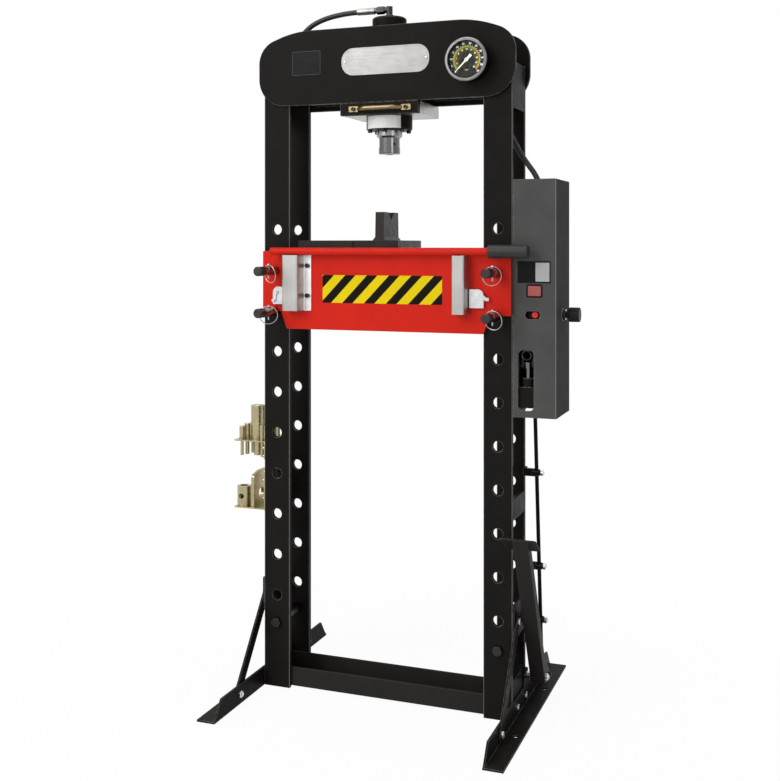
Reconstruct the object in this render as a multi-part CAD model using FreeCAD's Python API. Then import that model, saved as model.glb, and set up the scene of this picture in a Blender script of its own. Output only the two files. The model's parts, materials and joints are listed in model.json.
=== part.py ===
import FreeCAD, Part
import math
import os

os.makedirs("parts", exist_ok=True)
V = FreeCAD.Vector

# Workshop press, millimetres. X runs across the frame, Y from front to rear, Z up.
# The origin is on the floor, in the middle of the four foot anchor holes.

# ---- frame ----
FRAME_GAP = 542.0  # clear width between the uprights
BAR_W = 75.0  # upright flat bar
BAR_T = 12.0
FRAME_D = 140.0  # over the faces of the front and rear bars
BAR_TOP = 1663.0
BAR_EDGE_R = 1.5
HOLE_D = 28.0  # bed pin holes
HOLE_FIRST_Z = 248.0
HOLE_PITCH = 110.0
HOLE_COUNT = 10
TIE_BOLT_D = 16.0
TIE_BOLT_Z = 175.0
TIE_SLEEVE_D = 27.0
TIE_BOLT_OUT = 12.0  # end of the thread beyond the nut
TIE_HOLE_PLAY = 1.0

# ---- head ----
HEAD_W = 714.0
HEAD_T = 10.0
HEAD_BOTTOM = 1570.0
HEAD_H = 199.0
HEAD_FALL = 38.0  # how far the top edge falls at its ends
HEAD_FALL_W = 104.0
HEAD_CROWN_R = 290.0
HEAD_SHOULDER_R = 65.0
HEAD_LOWER_R = 75.0
RAIL_D = 14.0  # ledges inside the head that carry the carriage
RAIL_H = 12.0
RAIL_LIFT = 12.0
RAIL_L = 500.0

# ---- plates that join a front bar to the rear bar behind it ----
SIDE_T = 10.0
HEAD_SIDE_Z = (1543.0, 1661.0)
TIE_PLATE_Z = (502.0, 554.0)
BRACE_PLATE_Z = (205.0, 292.0)
FOOT_PLATE_Z = (2.0, 100.0)

# ---- base ----
ANGLE_LEG = 50.0  # feet and base beams are the same rolled angle
ANGLE_T = 5.0
BEAM_LIFT = 4.0
FOOT_L = 690.0
FOOT_CUT = 38.0  # bevel at the ends of the upright leg
ANCHOR_D = 14.0
ANCHOR_Y = 157.0
ANCHOR_IN = 31.0  # anchor hole from the back of the foot angle
BRACE_W = 30.0
BRACE_T = 5.0
BRACE_FOOT_Y = 210.0
BRACE_FOOT_Z = 26.0
BRACE_HEAD_Y = 44.0
BRACE_HEAD_Z = 246.0
FOOT_BOLT_Y = 42.0
FOOT_BOLT_Z = 27.0
M10_AF = 17.0
M10_HEAD = 5.5
M10_D = 10.0
M10_HOLE_PLAY = 0.6

# ---- cylinder carriage ----
CARRIAGE_X = -9.0  # where the carriage stands at rest
CARRIAGE_L = 218.0
CARRIAGE_Y = (-66.0, 90.0)
CARRIAGE_T = 31.5
CARRIAGE_PLAY = 0.4
HANGER_T = 12.0
HANGER_D = 132.0
NECK_L = 150.0
KEEPER_T = 14.0
HANDLE_SPAN = 146.0
HANDLE_SHIFT = 3.5  # middle of the handle to the right of the carriage middle
HANDLE_D = 11.0
HANDLE_REACH = 20.0
HANDLE_PAD = 27.0
HANDLE_DROP = 17.0  # from the top of the carriage plate
CYLINDER_D = 92.0
CYLINDER_BORE = 73.0
CYLINDER_UP = 33.0  # top of the cylinder above the head plates
CYLINDER_CAP_T = 18.0
CYLINDER_EDGE = 4.0
NOSE_D = 123.0
NOSE_H = 36.5
NOSE_EDGE = 3.0
NOSE_BOLT_D = 8.0
NOSE_BOLT_HEAD = 6.5
NOSE_BOLTS = 6
GLAND_T = 18.0
COLLAR_D = 69.0
COLLAR_H = 20.5
COLLAR_BEVEL = 5.0

# ---- ram ----
RAM_D = 55.0
RAM_BORE = 36.0
RAM_OUT = 43.0  # ram and nose piece below the collar at rest
RAM_NOSE_D = 57.0
RAM_NOSE_H = 17.5
RAM_FIT = 0.08
RAM_FLOOR = 62.0  # floor of the spring bore above the lower end
RAM_SCREW_D = 6.0  # set screw hole that holds a mandrel
RAM_SCREW_UP = 26.0
RAM_SCREW_TURN = -40.0  # degrees from +X
SOCKET_PLAY = 0.3
PISTON_H = 30.0
PISTON_ROOM = 12.0  # above the piston at rest
SPRING_D = 28.0
SPRING_WIRE = 4.0
SPRING_TURNS = 8

# ---- hose and its fittings ----
HOSE_D = 14.0
ELBOW_D = 17.0
ELBOW_UP = 23.0  # axis of the side outlet above the cylinder
ELBOW_HEX = 22.0
FERRULE_D = 18.0
FERRULE_L = 50.0
FERRULE_PLAY = 0.05
FERRULE_SEAT = 15.0  # hose end inside a ferrule

# ---- pressure gauge ----
GAUGE_IN = 117.0  # middle of the gauge from the right end of the head plates
GAUGE_UP = 90.0  # and from their lower edge
GAUGE_D = 105.0
GAUGE_H = 42.0
GAUGE_WALL = 3.0
BEZEL_D = 110.0
BEZEL_H = 18.0
BEZEL_LIP = 5.0
GLASS_T = 3.0
DIAL_T = 1.5
DIAL_DEPTH = 9.0
NEEDLE_L = 41.0
NEEDLE_TAIL = 17.0
NEEDLE_TAIL_W = 8.0
NEEDLE_T = 1.0
NEEDLE_REST_DEG = 225.0  # direction of the tip, from +X towards +Z
STEM_D = 14.0
PIPE_D = 6.0
PIPE_BEND = 18.0
PIPE_BACK = 7.0  # axis of the thin pipe behind the front bars
PIPE_ENTRY = 70.0  # above the bottom of the valve block

# ---- bed ----
BED_T = 10.0
BED_PLAY = 0.5
BED_END_IN = 0.5  # ends inside the outer edges of the uprights
BED_TOP = 1180.0
BED_BOTTOM = 971.0
BED_END_BOTTOM = 1018.0
BED_STEP_X = 291.0  # where the lower edge starts to drop
BED_STEP_RUN = 17.0
BED_CROSS_T = 10.0
BED_CROSS_X = (-263.0, -92.0, 92.0, 263.0)
BED_CROSS_MARGIN = 16.0
PIN_D = 25.0
PIN_FRONT = 106.0  # in front of the bed plate
PIN_REAR = 53.0
PIN_BEVEL = 2.5
PIN_HOLES = (7, 8)
PIN_SAG = 1.2  # the pins lie on the floor of the holes
PIN_HOLE_PLAY = 0.6
CLIP_D = 4.0
CLIP_RING = 48.0
CLIP_WIRE = 2.4
CLIP_UP = 3.0
CLIP_STEP = 40.0  # in front of the bed plate
CLIP_SWING = 10.0  # how far the rings swing from upright, degrees
CLIP_TURNS = (28.0, -26.0, -12.0, 32.0)  # turn of each ring about its pin, degrees

# ---- press plates and V-block ----
LOOSE_GAP = 0.1  # between loose pieces that lie on each other
PRESS_PLATE_X = (-236.0, -77.0, 48.0)
PRESS_PLATE_Y = (-91.0, 96.0)
PRESS_PLATE_T = 28.0
PRESS_PLATE_BEVEL = 1.5
V_BLOCK_X = -16.0
V_BLOCK_T = 24.0
V_BLOCK_L = 108.0
V_BLOCK_H = 75.0
V_BLOCK_TAPER = 3.0
V_FOOT_W = 34.0
V_FOOT_H = 9.0
V_WIDTH = 44.0
V_DEPTH = 21.0

# ---- guard brackets and the parked pump lever ----
BRACKET_Z = (1021.0, 1169.0)
BRACKET_REACH = 36.0
BRACKET_WALL = 3.0
BRACKET_LEFT_X = -272.0
BRACKET_LEFT_FACE = 45.0
BRACKET_LEFT_FLANGE = 26.0
BRACKET_RIGHT_X = 200.0
BRACKET_RIGHT_FACE = 33.0
BRACKET_RIGHT_FLANGE = 22.0
BRACKET_ROUND = 5.0
BRACKET_SLANT = 5.0  # how far the right wall leans out
SCREW_D = 6.0
SCREW_HEAD_D = 12.0
SCREW_HEAD_H = 6.0
SCREW_HOLE_PLAY = 0.4
BRACKET_SCREW_INSET = (40.0, 28.0)  # from the lower and the upper end
LEVER_D = 20.0
LEVER_WALL = 2.5
LEVER_X = (-309.0, 396.0)
LEVER_SEAT = 24.0  # lever axis in front of the bed plate
GRIP_D = 34.0
GRIP_L = 103.0
GRIP_END = 3.0  # closed end of the grip beyond the tube
LEVER_REST_GAP = 0.3  # between the lever and the tops of the brackets
LATCH_W = 38.0
LATCH_H = 47.0
LATCH_T = 9.0
LATCH_Z = 1060.5
LATCH_LEVER_T = 4.0
LATCH_LEVER_W = 9.0
LATCH_LEFT_HANG = 45.0  # the left lever hangs this much lower, degrees

# ---- hand and foot pump ----
COVER_X = (347.5, 457.5)
COVER_Y = (-70.0, 92.0)
COVER_Z = (765.0, 1361.0)
COVER_T = 2.0
COVER_BEND_R = 3.0
SLOT_X = (361.0, 401.0)
SLOT_Z = (782.0, 933.0)
SLOT_R = 12.5
WINDOW_C = (398.0, 1021.0)
WINDOW_SIZE = (38.0, 20.0)
HOSE_ENTRY_IN = 9.0  # hose hole to the left of the last run of the hose
MOUNT_T = 5.0
PUMP_X = 382.0  # middle plane of the lever socket, rod and pedal
BLOCK_Y = (-62.0, 4.0)
BLOCK_Z = (788.0, 840.0)
VALVE_Z = (950.0, 1056.0)
VALVE_Y = (-58.0, 70.0)
BODY_RIGHT = 442.0
SPINE_T = 10.0
LUG_T = 7.0
LUG_GAP = 42.0
TANK_TOP = 1332.0
TANK_Y = (6.0, 88.0)
TANK_R = 14.0
TANK_EDGE_R = 6.0
PLUG_D = 17.0
PLUG_H = 7.0
PRESSURE_PIPE_D = 10.0
PRESSURE_PIPE_X = 430.0
PRESSURE_PIPE_Y = -22.0
KNOB_Z = 1020.0
KNOB_Y = 4.0
KNOB_D = 37.0
KNOB_H = 27.5
SPINDLE_D = 12.0
SPINDLE_FIT = 0.08
SPINDLE_OUT = 17.5
KNOB_FLUTES = 10
FLUTE_D = 4.0

# ---- pedal linkage ----
PEDAL_PIVOT_Y = 60.0
PEDAL_PIVOT_Z = 75.0
PEDAL_W = 38.0
PEDAL_DEPTH = 26.0
PEDAL_T = 4.0
PEDAL_TOP_Y = -128.0
PEDAL_TOP_Z = 478.0
PAD_X = (334.0, 421.0)
PAD_D = 65.0
PAD_T = 4.0
PAD_SLOPE = 34.0
PAD_R = 6.0
ROD_ARM = 45.0  # pedal pivot to rod pin
ROD_SWING = 20.0  # swing of that arm to each side of square to the rod, degrees
ROD_D = 10.0
ROD_LEAN = 6.4  # degrees from upright
ROD_EYE_D = 24.0
ROD_EYE_T = 9.0
LINK_PIN_D = 8.0
LINK_PLAY = 1.0
LINK_SLOT = 3.0
GUIDE_W = 20.0
GUIDE_T = 6.0
GUIDE_RING_H = 12.0
GUIDE_PLAY = 0.8
PIVOT_D = 10.0
PIVOT_PLAY = 0.1
PIVOT_SIDE = 0.5

# ---- lever socket and plunger ----
SOCKET_ARM = 42.0  # pivot to rod pin
SOCKET_PIVOT_Z = 890.0
SOCKET_SWING = 21.5  # swing to each side of the middle, degrees
SOCKET_TUBE_D = 25.0
SOCKET_TUBE_BORE = 20.5
SOCKET_TUBE_L = 50.0
SOCKET_TUBE_FRONT = 38.0  # mouth in front of the pivot
SOCKET_TUBE_UP = 30.0
CHEEK_T = 4.0
SOCKET_GAP = 22.0  # between the cheeks
PLUNGER_ARM = 20.0
PLUNGER_D = 16.0
PLUNGER_FIT = 0.08
PLUNGER_FLOOR = 20.0  # end of the plunger above the bottom of its block
PLUNGER_EYE_D = 18.0
PLUNGER_BARREL_D = 30.0
PLUNGER_BARREL_H = 22.0

# ---- tool racks on the left side ----
RACK_T = 3.0
RACK_REACH = 100.0
RACK_W = 120.0
RACK_UPPER_Z = 656.0
RACK_LOWER_Z = 472.0
RACK_UPPER_LEG = 48.0
RACK_LOWER_LEG = 110.0
RACK_EDGE_R = 6.0
# (distance from the upright, y, head diameter, head height, shank diameter)
MANDRELS = (
    (50.0, -12.0, 38.0, 92.0, 22.0),
    (20.0, 36.0, 26.0, 96.0, 18.0),
    (78.0, 14.0, 18.0, 39.0, 13.0),
    (90.0, -30.0, 15.0, 34.0, 9.0),
    (83.0, -12.0, 17.0, 39.0, 12.0),
    (72.0, 42.0, 16.0, 36.0, 12.0),
    (24.0, -36.0, 15.0, 40.0, 10.0),
)
SHANK_L = 47.0
SHANK_PLAY = 0.6
ADAPTER_OUT = 45.0  # from the upright to its near face
ADAPTER_L = 90.0
ADAPTER_H = 94.0
ADAPTER_T = 9.0
ADAPTER_BORE = 28.0
COLLAR_RING_D = 38.0
COLLAR_RING_BORE = 22.0
COLLAR_RING_H = 54.0
COLLAR_RING_Y = -34.0
COLLAR_CROSS_D = 15.0

# ---- places that follow from the sizes above ----
BAR_IN = FRAME_GAP / 2
BAR_OUT = BAR_IN + BAR_W
BAR_MID = (BAR_IN + BAR_OUT) / 2
FACE_Y = FRAME_D / 2
BAR_BACK_Y = FACE_Y - BAR_T
ANCHOR_X = BAR_OUT + ANCHOR_IN
HEAD_TOP = HEAD_BOTTOM + HEAD_H
GAUGE_X = HEAD_W / 2 - GAUGE_IN
GAUGE_Z = HEAD_BOTTOM + GAUGE_UP
RAIL_Z = HEAD_BOTTOM + RAIL_LIFT
PLATE_TOP = HEAD_BOTTOM - CARRIAGE_PLAY
PLATE_BOTTOM = PLATE_TOP - CARRIAGE_T
HANGER_Z = RAIL_Z + RAIL_H + CARRIAGE_PLAY
NOSE_BOTTOM = PLATE_BOTTOM - NOSE_H
COLLAR_BOTTOM = NOSE_BOTTOM - COLLAR_H
RAM_BOTTOM = COLLAR_BOTTOM - RAM_OUT
CYLINDER_TOP = HEAD_TOP + CYLINDER_UP
ELBOW_Z = CYLINDER_TOP + ELBOW_UP
PISTON_BOTTOM = CYLINDER_TOP - CYLINDER_CAP_T - PISTON_ROOM - PISTON_H
KEEPER_FACE = CARRIAGE_Y[0] - KEEPER_T
HANDLE_X = CARRIAGE_X + HANDLE_SHIFT
HANDLE_Z = PLATE_TOP - HANDLE_DROP
PIPE_Y = PIPE_BACK - BAR_BACK_Y
BED_Y = FACE_Y + BED_PLAY
BED_FRONT = BED_Y + BED_T
PIN_Z = tuple(HOLE_FIRST_Z + HOLE_PITCH * k - PIN_SAG for k in PIN_HOLES)
BRACKET_FRONT = BED_FRONT + BRACKET_REACH
LEVER_Z = BRACKET_Z[1] + LEVER_REST_GAP + LEVER_D / 2
LEVER_Y = -(BED_FRONT + LEVER_SEAT)
# (height, face on which the arm is welded): the bar, the bar and the rear brace
GUIDES = ((607.0, BAR_OUT), (358.0, BAR_OUT), (213.0, BAR_OUT + ANGLE_T + BRACE_T))
ROD_DIR = V(0, -math.sin(math.radians(ROD_LEAN)), math.cos(math.radians(ROD_LEAN)))
ROD_FOOT = V(
    PUMP_X,
    PEDAL_PIVOT_Y + ROD_ARM * math.cos(math.radians(ROD_SWING - ROD_LEAN)),
    PEDAL_PIVOT_Z - ROD_ARM * math.sin(math.radians(ROD_SWING - ROD_LEAN)),
)
ROD_HEAD_Z = SOCKET_PIVOT_Z - SOCKET_ARM * math.sin(math.radians(SOCKET_SWING - ROD_LEAN))
ROD_HEAD = ROD_FOOT + ROD_DIR * ((ROD_HEAD_Z - ROD_FOOT.z) / ROD_DIR.z)
SOCKET_PIVOT_Y = ROD_HEAD.y - SOCKET_ARM * math.cos(math.radians(SOCKET_SWING - ROD_LEAN))
PLUNGER_Y = SOCKET_PIVOT_Y - PLUNGER_ARM * math.cos(math.radians(SOCKET_SWING))
PLUNGER_PIN_Z = SOCKET_PIVOT_Z + PLUNGER_ARM * math.sin(math.radians(SOCKET_SWING))

# The hose leaves the elbow to the left, dips into the head, runs to the right behind
# the cylinder and drops between the right uprights into the top of the pump cover.
HOSE_ROUTE = (
    (-85.0, 0.0, ELBOW_Z),
    (-280.0, 0.0, ELBOW_Z),
    (-280.0, 12.0, 1630.0),
    (-115.0, 58.0, 1634.0),
    (75.0, 58.0, 1640.0),
    (235.0, 20.0, 1625.0),
    (318.0, -8.0, 1496.0),
    (352.0, -13.0, 1428.0),
    (412.0, -18.0, 1350.0),
    (412.0, -18.0, 1290.0),
)


def box(x, y, z):
    """Block between two planes on each axis."""
    return Part.makeBox(x[1] - x[0], y[1] - y[0], z[1] - z[0], V(x[0], y[0], z[0]))


def rod(start, end, diameter):
    """Round bar between two points."""
    axis = V(*end) - V(*start)
    return Part.makeCylinder(diameter / 2, axis.Length, V(*start), axis)


def tube(start, end, outer, inner):
    """Round tube between two points."""
    return rod(start, end, outer).cut(rod(start, end, inner))


def outline(corners, place):
    """Closed outline from (u, v, corner radius), with tangent arcs at the corners."""
    count = len(corners)
    legs = []
    for i, (u, v, radius) in enumerate(corners):
        at = V(u, v, 0)
        before = (V(*corners[i - 1][:2], 0) - at).normalize()
        after = (V(*corners[(i + 1) % count][:2], 0) - at).normalize()
        if radius <= 0:
            legs.append((at, None, at))
            continue
        half = before.getAngle(after) / 2
        run = radius / math.tan(half)
        middle = (before + after).normalize() * (radius / math.sin(half) - radius)
        legs.append((at + before * run, at + middle, at + after * run))
    edges = []
    for i, (start, middle, end) in enumerate(legs):
        if middle is not None:
            edges.append(Part.Arc(place(start), place(middle), place(end)).toShape())
        follow = legs[(i + 1) % count][0]
        if (follow - end).Length > 1e-6:
            edges.append(Part.LineSegment(place(end), place(follow)).toShape())
    return Part.Face(Part.Wire(edges))


def plate_x(corners, x0, x1):
    """Plate with its outline in Y and Z."""
    return outline(corners, lambda p: V(x0, p.x, p.y)).extrude(V(x1 - x0, 0, 0))


def plate_y(corners, y0, y1):
    """Plate with its outline in X and Z."""
    return outline(corners, lambda p: V(p.x, y0, p.y)).extrude(V(0, y1 - y0, 0))


def plate_z(corners, z0, z1):
    """Plate with its outline in X and Y."""
    return outline(corners, lambda p: V(p.x, p.y, z0)).extrude(V(0, 0, z1 - z0))


def rounded(u, v, radius):
    """Corners of a rectangle that spans u and v."""
    return [(u[0], v[0], radius), (u[1], v[0], radius), (u[1], v[1], radius), (u[0], v[1], radius)]


def hex_head(start, axis, flats, height):
    """Hexagon bolt head or nut, with the corners of its outer end turned off."""
    corners = [
        V(*(flats / math.sqrt(3) * f(math.radians(60 * k)) for f in (math.cos, math.sin)), 0)
        for k in range(6)
    ]
    solid = Part.Face(Part.makePolygon(corners + corners[:1])).extrude(V(0, 0, height))
    cone = Part.makeCone(flats * 0.47 + height, flats * 0.47, height)
    solid = solid.common(cone)
    solid.Placement = FreeCAD.Placement(V(*start), FreeCAD.Rotation(V(0, 0, 1), axis))
    return solid


def bolt(start, end, shank, flats, head):
    """Hexagon bolt with its nut: the head lies before start, the nut after end."""
    start, end = V(*start), V(*end)
    axis = (end - start).normalize()
    solid = rod(start - axis * 0.1, end + axis * (head + 3), shank)
    solid = solid.fuse(hex_head(start, axis * -1, flats, head))
    return solid.fuse(hex_head(end, axis, flats, head)).removeSplitter()


def cap_screw(start, axis, length, shank, head_d, head_h):
    """Socket head screw: the seat is at start, the shank follows axis."""
    back = start - axis * head_h
    solid = rod(start - axis * 0.1, start + axis * length, shank).fuse(rod(start, back, head_d))
    socket = hex_head(back, axis, head_d * 0.5, head_h * 0.55)
    return solid.cut(socket)


def mirror_x(shape):
    """The same shape on the other side of the frame."""
    return shape.mirror(V(0, 0, 0), V(1, 0, 0))


def group(shapes):
    """Several solids of one sub-part."""
    return Part.makeCompound(shapes)


# ------------------------------------------------------------------ frame


def upright(side, face):
    """Flat bar with a column of pin holes; side and face are -1 or 1."""
    x = sorted((side * BAR_IN, side * BAR_OUT))
    y = sorted((face * BAR_BACK_Y, face * FACE_Y))
    bar = plate_z(rounded(x, y, BAR_EDGE_R), 0, BAR_TOP)
    middle = side * BAR_MID
    for k in range(HOLE_COUNT):
        z = HOLE_FIRST_Z + HOLE_PITCH * k
        bar = bar.cut(rod((middle, y[0] - 1, z), (middle, y[1] + 1, z), HOLE_D))
    return bar.cut(
        rod(
            (middle, y[0] - 1, TIE_BOLT_Z),
            (middle, y[1] + 1, TIE_BOLT_Z),
            TIE_BOLT_D + TIE_HOLE_PLAY,
        )
    )


def head_plate(face):
    """Head plate: level top edge that falls away to round shoulders."""
    half = HEAD_W / 2
    shoulder = HEAD_TOP - HEAD_FALL
    corners = [
        (-half, HEAD_BOTTOM, HEAD_LOWER_R),
        (half, HEAD_BOTTOM, HEAD_LOWER_R),
        (half, shoulder, HEAD_SHOULDER_R),
        (half - HEAD_FALL_W, HEAD_TOP, HEAD_CROWN_R),
        (HEAD_FALL_W - half, HEAD_TOP, HEAD_CROWN_R),
        (-half, shoulder, HEAD_SHOULDER_R),
    ]
    y = sorted((face * FACE_Y, face * (FACE_Y + HEAD_T)))
    plate = plate_y(corners, *y)
    if face < 0:
        plate = plate.cut(
            rod((GAUGE_X, y[0] - 1, GAUGE_Z), (GAUGE_X, y[1] + 1, GAUGE_Z), STEM_D + 1)
        )
    return plate


def head_rails():
    """Two ledges on the inner faces of the head plates."""
    rails = []
    for face in (-1, 1):
        y = sorted((face * FACE_Y, face * (FACE_Y - RAIL_D)))
        rails.append(box((-RAIL_L / 2, RAIL_L / 2), y, (RAIL_Z, RAIL_Z + RAIL_H)))
    return group(rails)


def side_plates():
    """Plates that tie each front bar to the rear bar, on both sides of the frame."""
    inside = (-BAR_BACK_Y, BAR_BACK_Y)
    x = (BAR_OUT - SIDE_T, BAR_OUT)
    right = [
        box(x, inside, HEAD_SIDE_Z),
        box(x, inside, TIE_PLATE_Z),
        box(x, inside, FOOT_PLATE_Z),
        plate_x(rounded((-FACE_Y, FACE_Y), BRACE_PLATE_Z, 4), BAR_OUT, BAR_OUT + ANGLE_T),
    ]
    right = [cut_bolt_holes(plate) for plate in right]
    return group(right + [mirror_x(plate) for plate in right])


def bolt_places():
    """Bolts on the right side as (y, z, inner face, outer face)."""
    places = []
    for face in (-1, 1):
        places += [
            (face * FOOT_BOLT_Y, FOOT_BOLT_Z, BAR_OUT - SIDE_T, BAR_OUT + ANGLE_T),
            (face * BRACE_FOOT_Y, BRACE_FOOT_Z, BAR_OUT, BAR_OUT + ANGLE_T + BRACE_T),
            (face * BRACE_HEAD_Y, BRACE_HEAD_Z, BAR_OUT, BAR_OUT + ANGLE_T + BRACE_T),
        ]
    return places


def cut_bolt_holes(shape):
    """Drills a piece of the right side for the bolts that pass through it."""
    for y, z, inner, outer in bolt_places():
        shape = shape.cut(rod((inner - 1, y, z), (outer + 1, y, z), M10_D + M10_HOLE_PLAY))
    return shape


def base_beams():
    """Angle beams behind the front bars and before the rear ones."""
    end = BAR_OUT - SIDE_T - 1
    bottom = BEAM_LIFT
    corners = [
        (-BAR_BACK_Y, bottom, 0),
        (-BAR_BACK_Y + ANGLE_LEG, bottom, 2),
        (-BAR_BACK_Y + ANGLE_LEG, bottom + ANGLE_T, 2),
        (-BAR_BACK_Y + ANGLE_T, bottom + ANGLE_T, 4),
        (-BAR_BACK_Y + ANGLE_T, bottom + ANGLE_LEG, 2),
        (-BAR_BACK_Y, bottom + ANGLE_LEG, 2),
    ]
    front = plate_x(corners, -end, end)
    return group([front, front.mirror(V(0, 0, 0), V(0, 1, 0))])


def foot(lugs=()):
    """Right foot: an angle with bevelled ends and its anchor holes."""
    x = (BAR_OUT, BAR_OUT + ANGLE_T)
    upright_leg = plate_x(
        [
            (-FOOT_L / 2, 0, 0),
            (FOOT_L / 2, 0, 0),
            (FOOT_L / 2 - FOOT_CUT, ANGLE_LEG, 0),
            (FOOT_CUT - FOOT_L / 2, ANGLE_LEG, 0),
        ],
        *x,
    )
    level_leg = box((BAR_OUT, BAR_OUT + ANGLE_LEG), (-FOOT_L / 2, FOOT_L / 2), (0, ANGLE_T))
    solid = upright_leg.fuse([level_leg, *lugs]).removeSplitter()
    for face in (-1, 1):
        y = face * ANCHOR_Y
        solid = solid.cut(rod((ANCHOR_X, y, -1), (ANCHOR_X, y, ANGLE_T + 1), ANCHOR_D))
    return cut_bolt_holes(solid)


def foot_right():
    """Right foot with a welded lug that carries the pedal pivot."""
    lug = plate_x(
        [
            (PEDAL_PIVOT_Y - 26, ANGLE_LEG - 6, 0),
            (PEDAL_PIVOT_Y + 26, ANGLE_LEG - 6, 0),
            (PEDAL_PIVOT_Y + 16, PEDAL_PIVOT_Z + 16, 12),
            (PEDAL_PIVOT_Y - 16, PEDAL_PIVOT_Z + 16, 12),
        ],
        BAR_OUT,
        BAR_OUT + ANGLE_T,
    )
    bore = rod(
        (BAR_OUT - 1, PEDAL_PIVOT_Y, PEDAL_PIVOT_Z),
        (BAR_OUT + ANGLE_T + 1, PEDAL_PIVOT_Y, PEDAL_PIVOT_Z),
        PIVOT_D + 0.2,
    )
    return foot([lug]).cut(bore)


def brace():
    """Front right brace: a flat strap from the foot to the side of the frame."""
    foot_end = V(0, -BRACE_FOOT_Y, BRACE_FOOT_Z)
    head_end = V(0, -BRACE_HEAD_Y, BRACE_HEAD_Z)
    along = (head_end - foot_end).normalize()
    across = V(0, -along.z, along.y) * (BRACE_W / 2)
    reach = along * (BRACE_W / 2)
    points = [
        foot_end - reach - across,
        foot_end - reach + across,
        head_end + reach + across,
        head_end + reach - across,
    ]
    x0 = BAR_OUT + ANGLE_T
    return cut_bolt_holes(plate_x([(p.y, p.z, 8) for p in points], x0, x0 + BRACE_T))


def braces():
    """Four straps: front and rear on both sides."""
    front = brace()
    rear = front.mirror(V(0, 0, 0), V(0, 1, 0))
    return group([front, rear, mirror_x(front), mirror_x(rear)])


def tie_bolts():
    """Bolts across each side of the frame, in a sleeve between the bars."""
    bolts = []
    for side in (-1, 1):
        x = side * BAR_MID
        front, rear = (x, -FACE_Y, TIE_BOLT_Z), (x, FACE_Y, TIE_BOLT_Z)
        shank = rod(front, (x, FACE_Y + TIE_BOLT_OUT, TIE_BOLT_Z), TIE_BOLT_D)
        shank = shank.fuse(hex_head(front, V(0, -1, 0), TIE_BOLT_D * 1.5, 10))
        shank = shank.fuse(hex_head(rear, V(0, 1, 0), TIE_BOLT_D * 1.5, 10))
        sleeve = rod((x, -BAR_BACK_Y, TIE_BOLT_Z), (x, BAR_BACK_Y, TIE_BOLT_Z), TIE_SLEEVE_D)
        bolts.append(shank.fuse(sleeve).removeSplitter())
    return group(bolts)


def frame_bolts():
    """M10 bolts of the feet and the braces, on both sides; the nuts are inside."""
    right = [
        bolt((outer, y, z), (inner, y, z), M10_D, M10_AF, M10_HEAD)
        for y, z, inner, outer in bolt_places()
    ]
    return group(right + [mirror_x(one) for one in right])


# ------------------------------------------------------------------ carriage and ram


def carriage_plate():
    """Sliding plate under the head, with a neck that fills the space between the rails."""
    x = (CARRIAGE_X - CARRIAGE_L / 2, CARRIAGE_X + CARRIAGE_L / 2)
    plate = box(x, CARRIAGE_Y, (PLATE_BOTTOM, PLATE_TOP))
    neck_y = FACE_Y - RAIL_D - CARRIAGE_PLAY
    neck = box(
        (CARRIAGE_X - NECK_L / 2, CARRIAGE_X + NECK_L / 2),
        (-neck_y, neck_y),
        (PLATE_TOP, HANGER_Z),
    )
    solid = plate.fuse(neck)
    return solid.cut(
        rod((CARRIAGE_X, 0, PLATE_BOTTOM - 1), (CARRIAGE_X, 0, HANGER_Z + 1), CYLINDER_D)
    )


def hanger_plate():
    """Plate that rides on the rails and carries the carriage."""
    x = (CARRIAGE_X - CARRIAGE_L / 2, CARRIAGE_X + CARRIAGE_L / 2)
    plate = plate_z(rounded(x, (-HANGER_D / 2, HANGER_D / 2), 8), HANGER_Z, HANGER_Z + HANGER_T)
    return plate.cut(
        rod((CARRIAGE_X, 0, HANGER_Z - 1), (CARRIAGE_X, 0, HANGER_Z + HANGER_T + 1), CYLINDER_D)
    )


def carriage_keeper():
    """Black bar bolted to the front edge of the sliding plate."""
    half = CARRIAGE_L / 2
    corners = rounded((CARRIAGE_X - half, CARRIAGE_X + half), (PLATE_BOTTOM - 1.5, PLATE_TOP), 2)
    return plate_y(corners, KEEPER_FACE, CARRIAGE_Y[0])


def carriage_handle():
    """Pull handle: a round bar whose flattened ends lie against the front keeper."""
    z = HANDLE_Z
    ends = []
    for side in (-1, 1):
        x = HANDLE_X + side * HANDLE_SPAN / 2
        corners = rounded((x - HANDLE_PAD / 2, x + HANDLE_PAD / 2), (z - 7.5, z + 7.5), 3)
        ends.append(plate_y(corners, KEEPER_FACE - 5, KEEPER_FACE))
    reach = KEEPER_FACE - HANDLE_REACH
    inner = HANDLE_SPAN / 2 - HANDLE_PAD / 2 - 1
    bends = [
        V(HANDLE_X - inner, KEEPER_FACE - 3, z),
        V(HANDLE_X - inner + 18, reach, z),
        V(HANDLE_X + inner - 18, reach, z),
        V(HANDLE_X + inner, KEEPER_FACE - 3, z),
    ]
    grip = bent_pipe(bends, HANDLE_D, 14)
    inside = box(
        (HANDLE_X - HANDLE_SPAN, HANDLE_X + HANDLE_SPAN),
        (reach - HANDLE_D, KEEPER_FACE),
        (z - HANDLE_D, z + HANDLE_D),
    )
    return ends[0].fuse([ends[1], grip.common(inside)]).removeSplitter()


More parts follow.
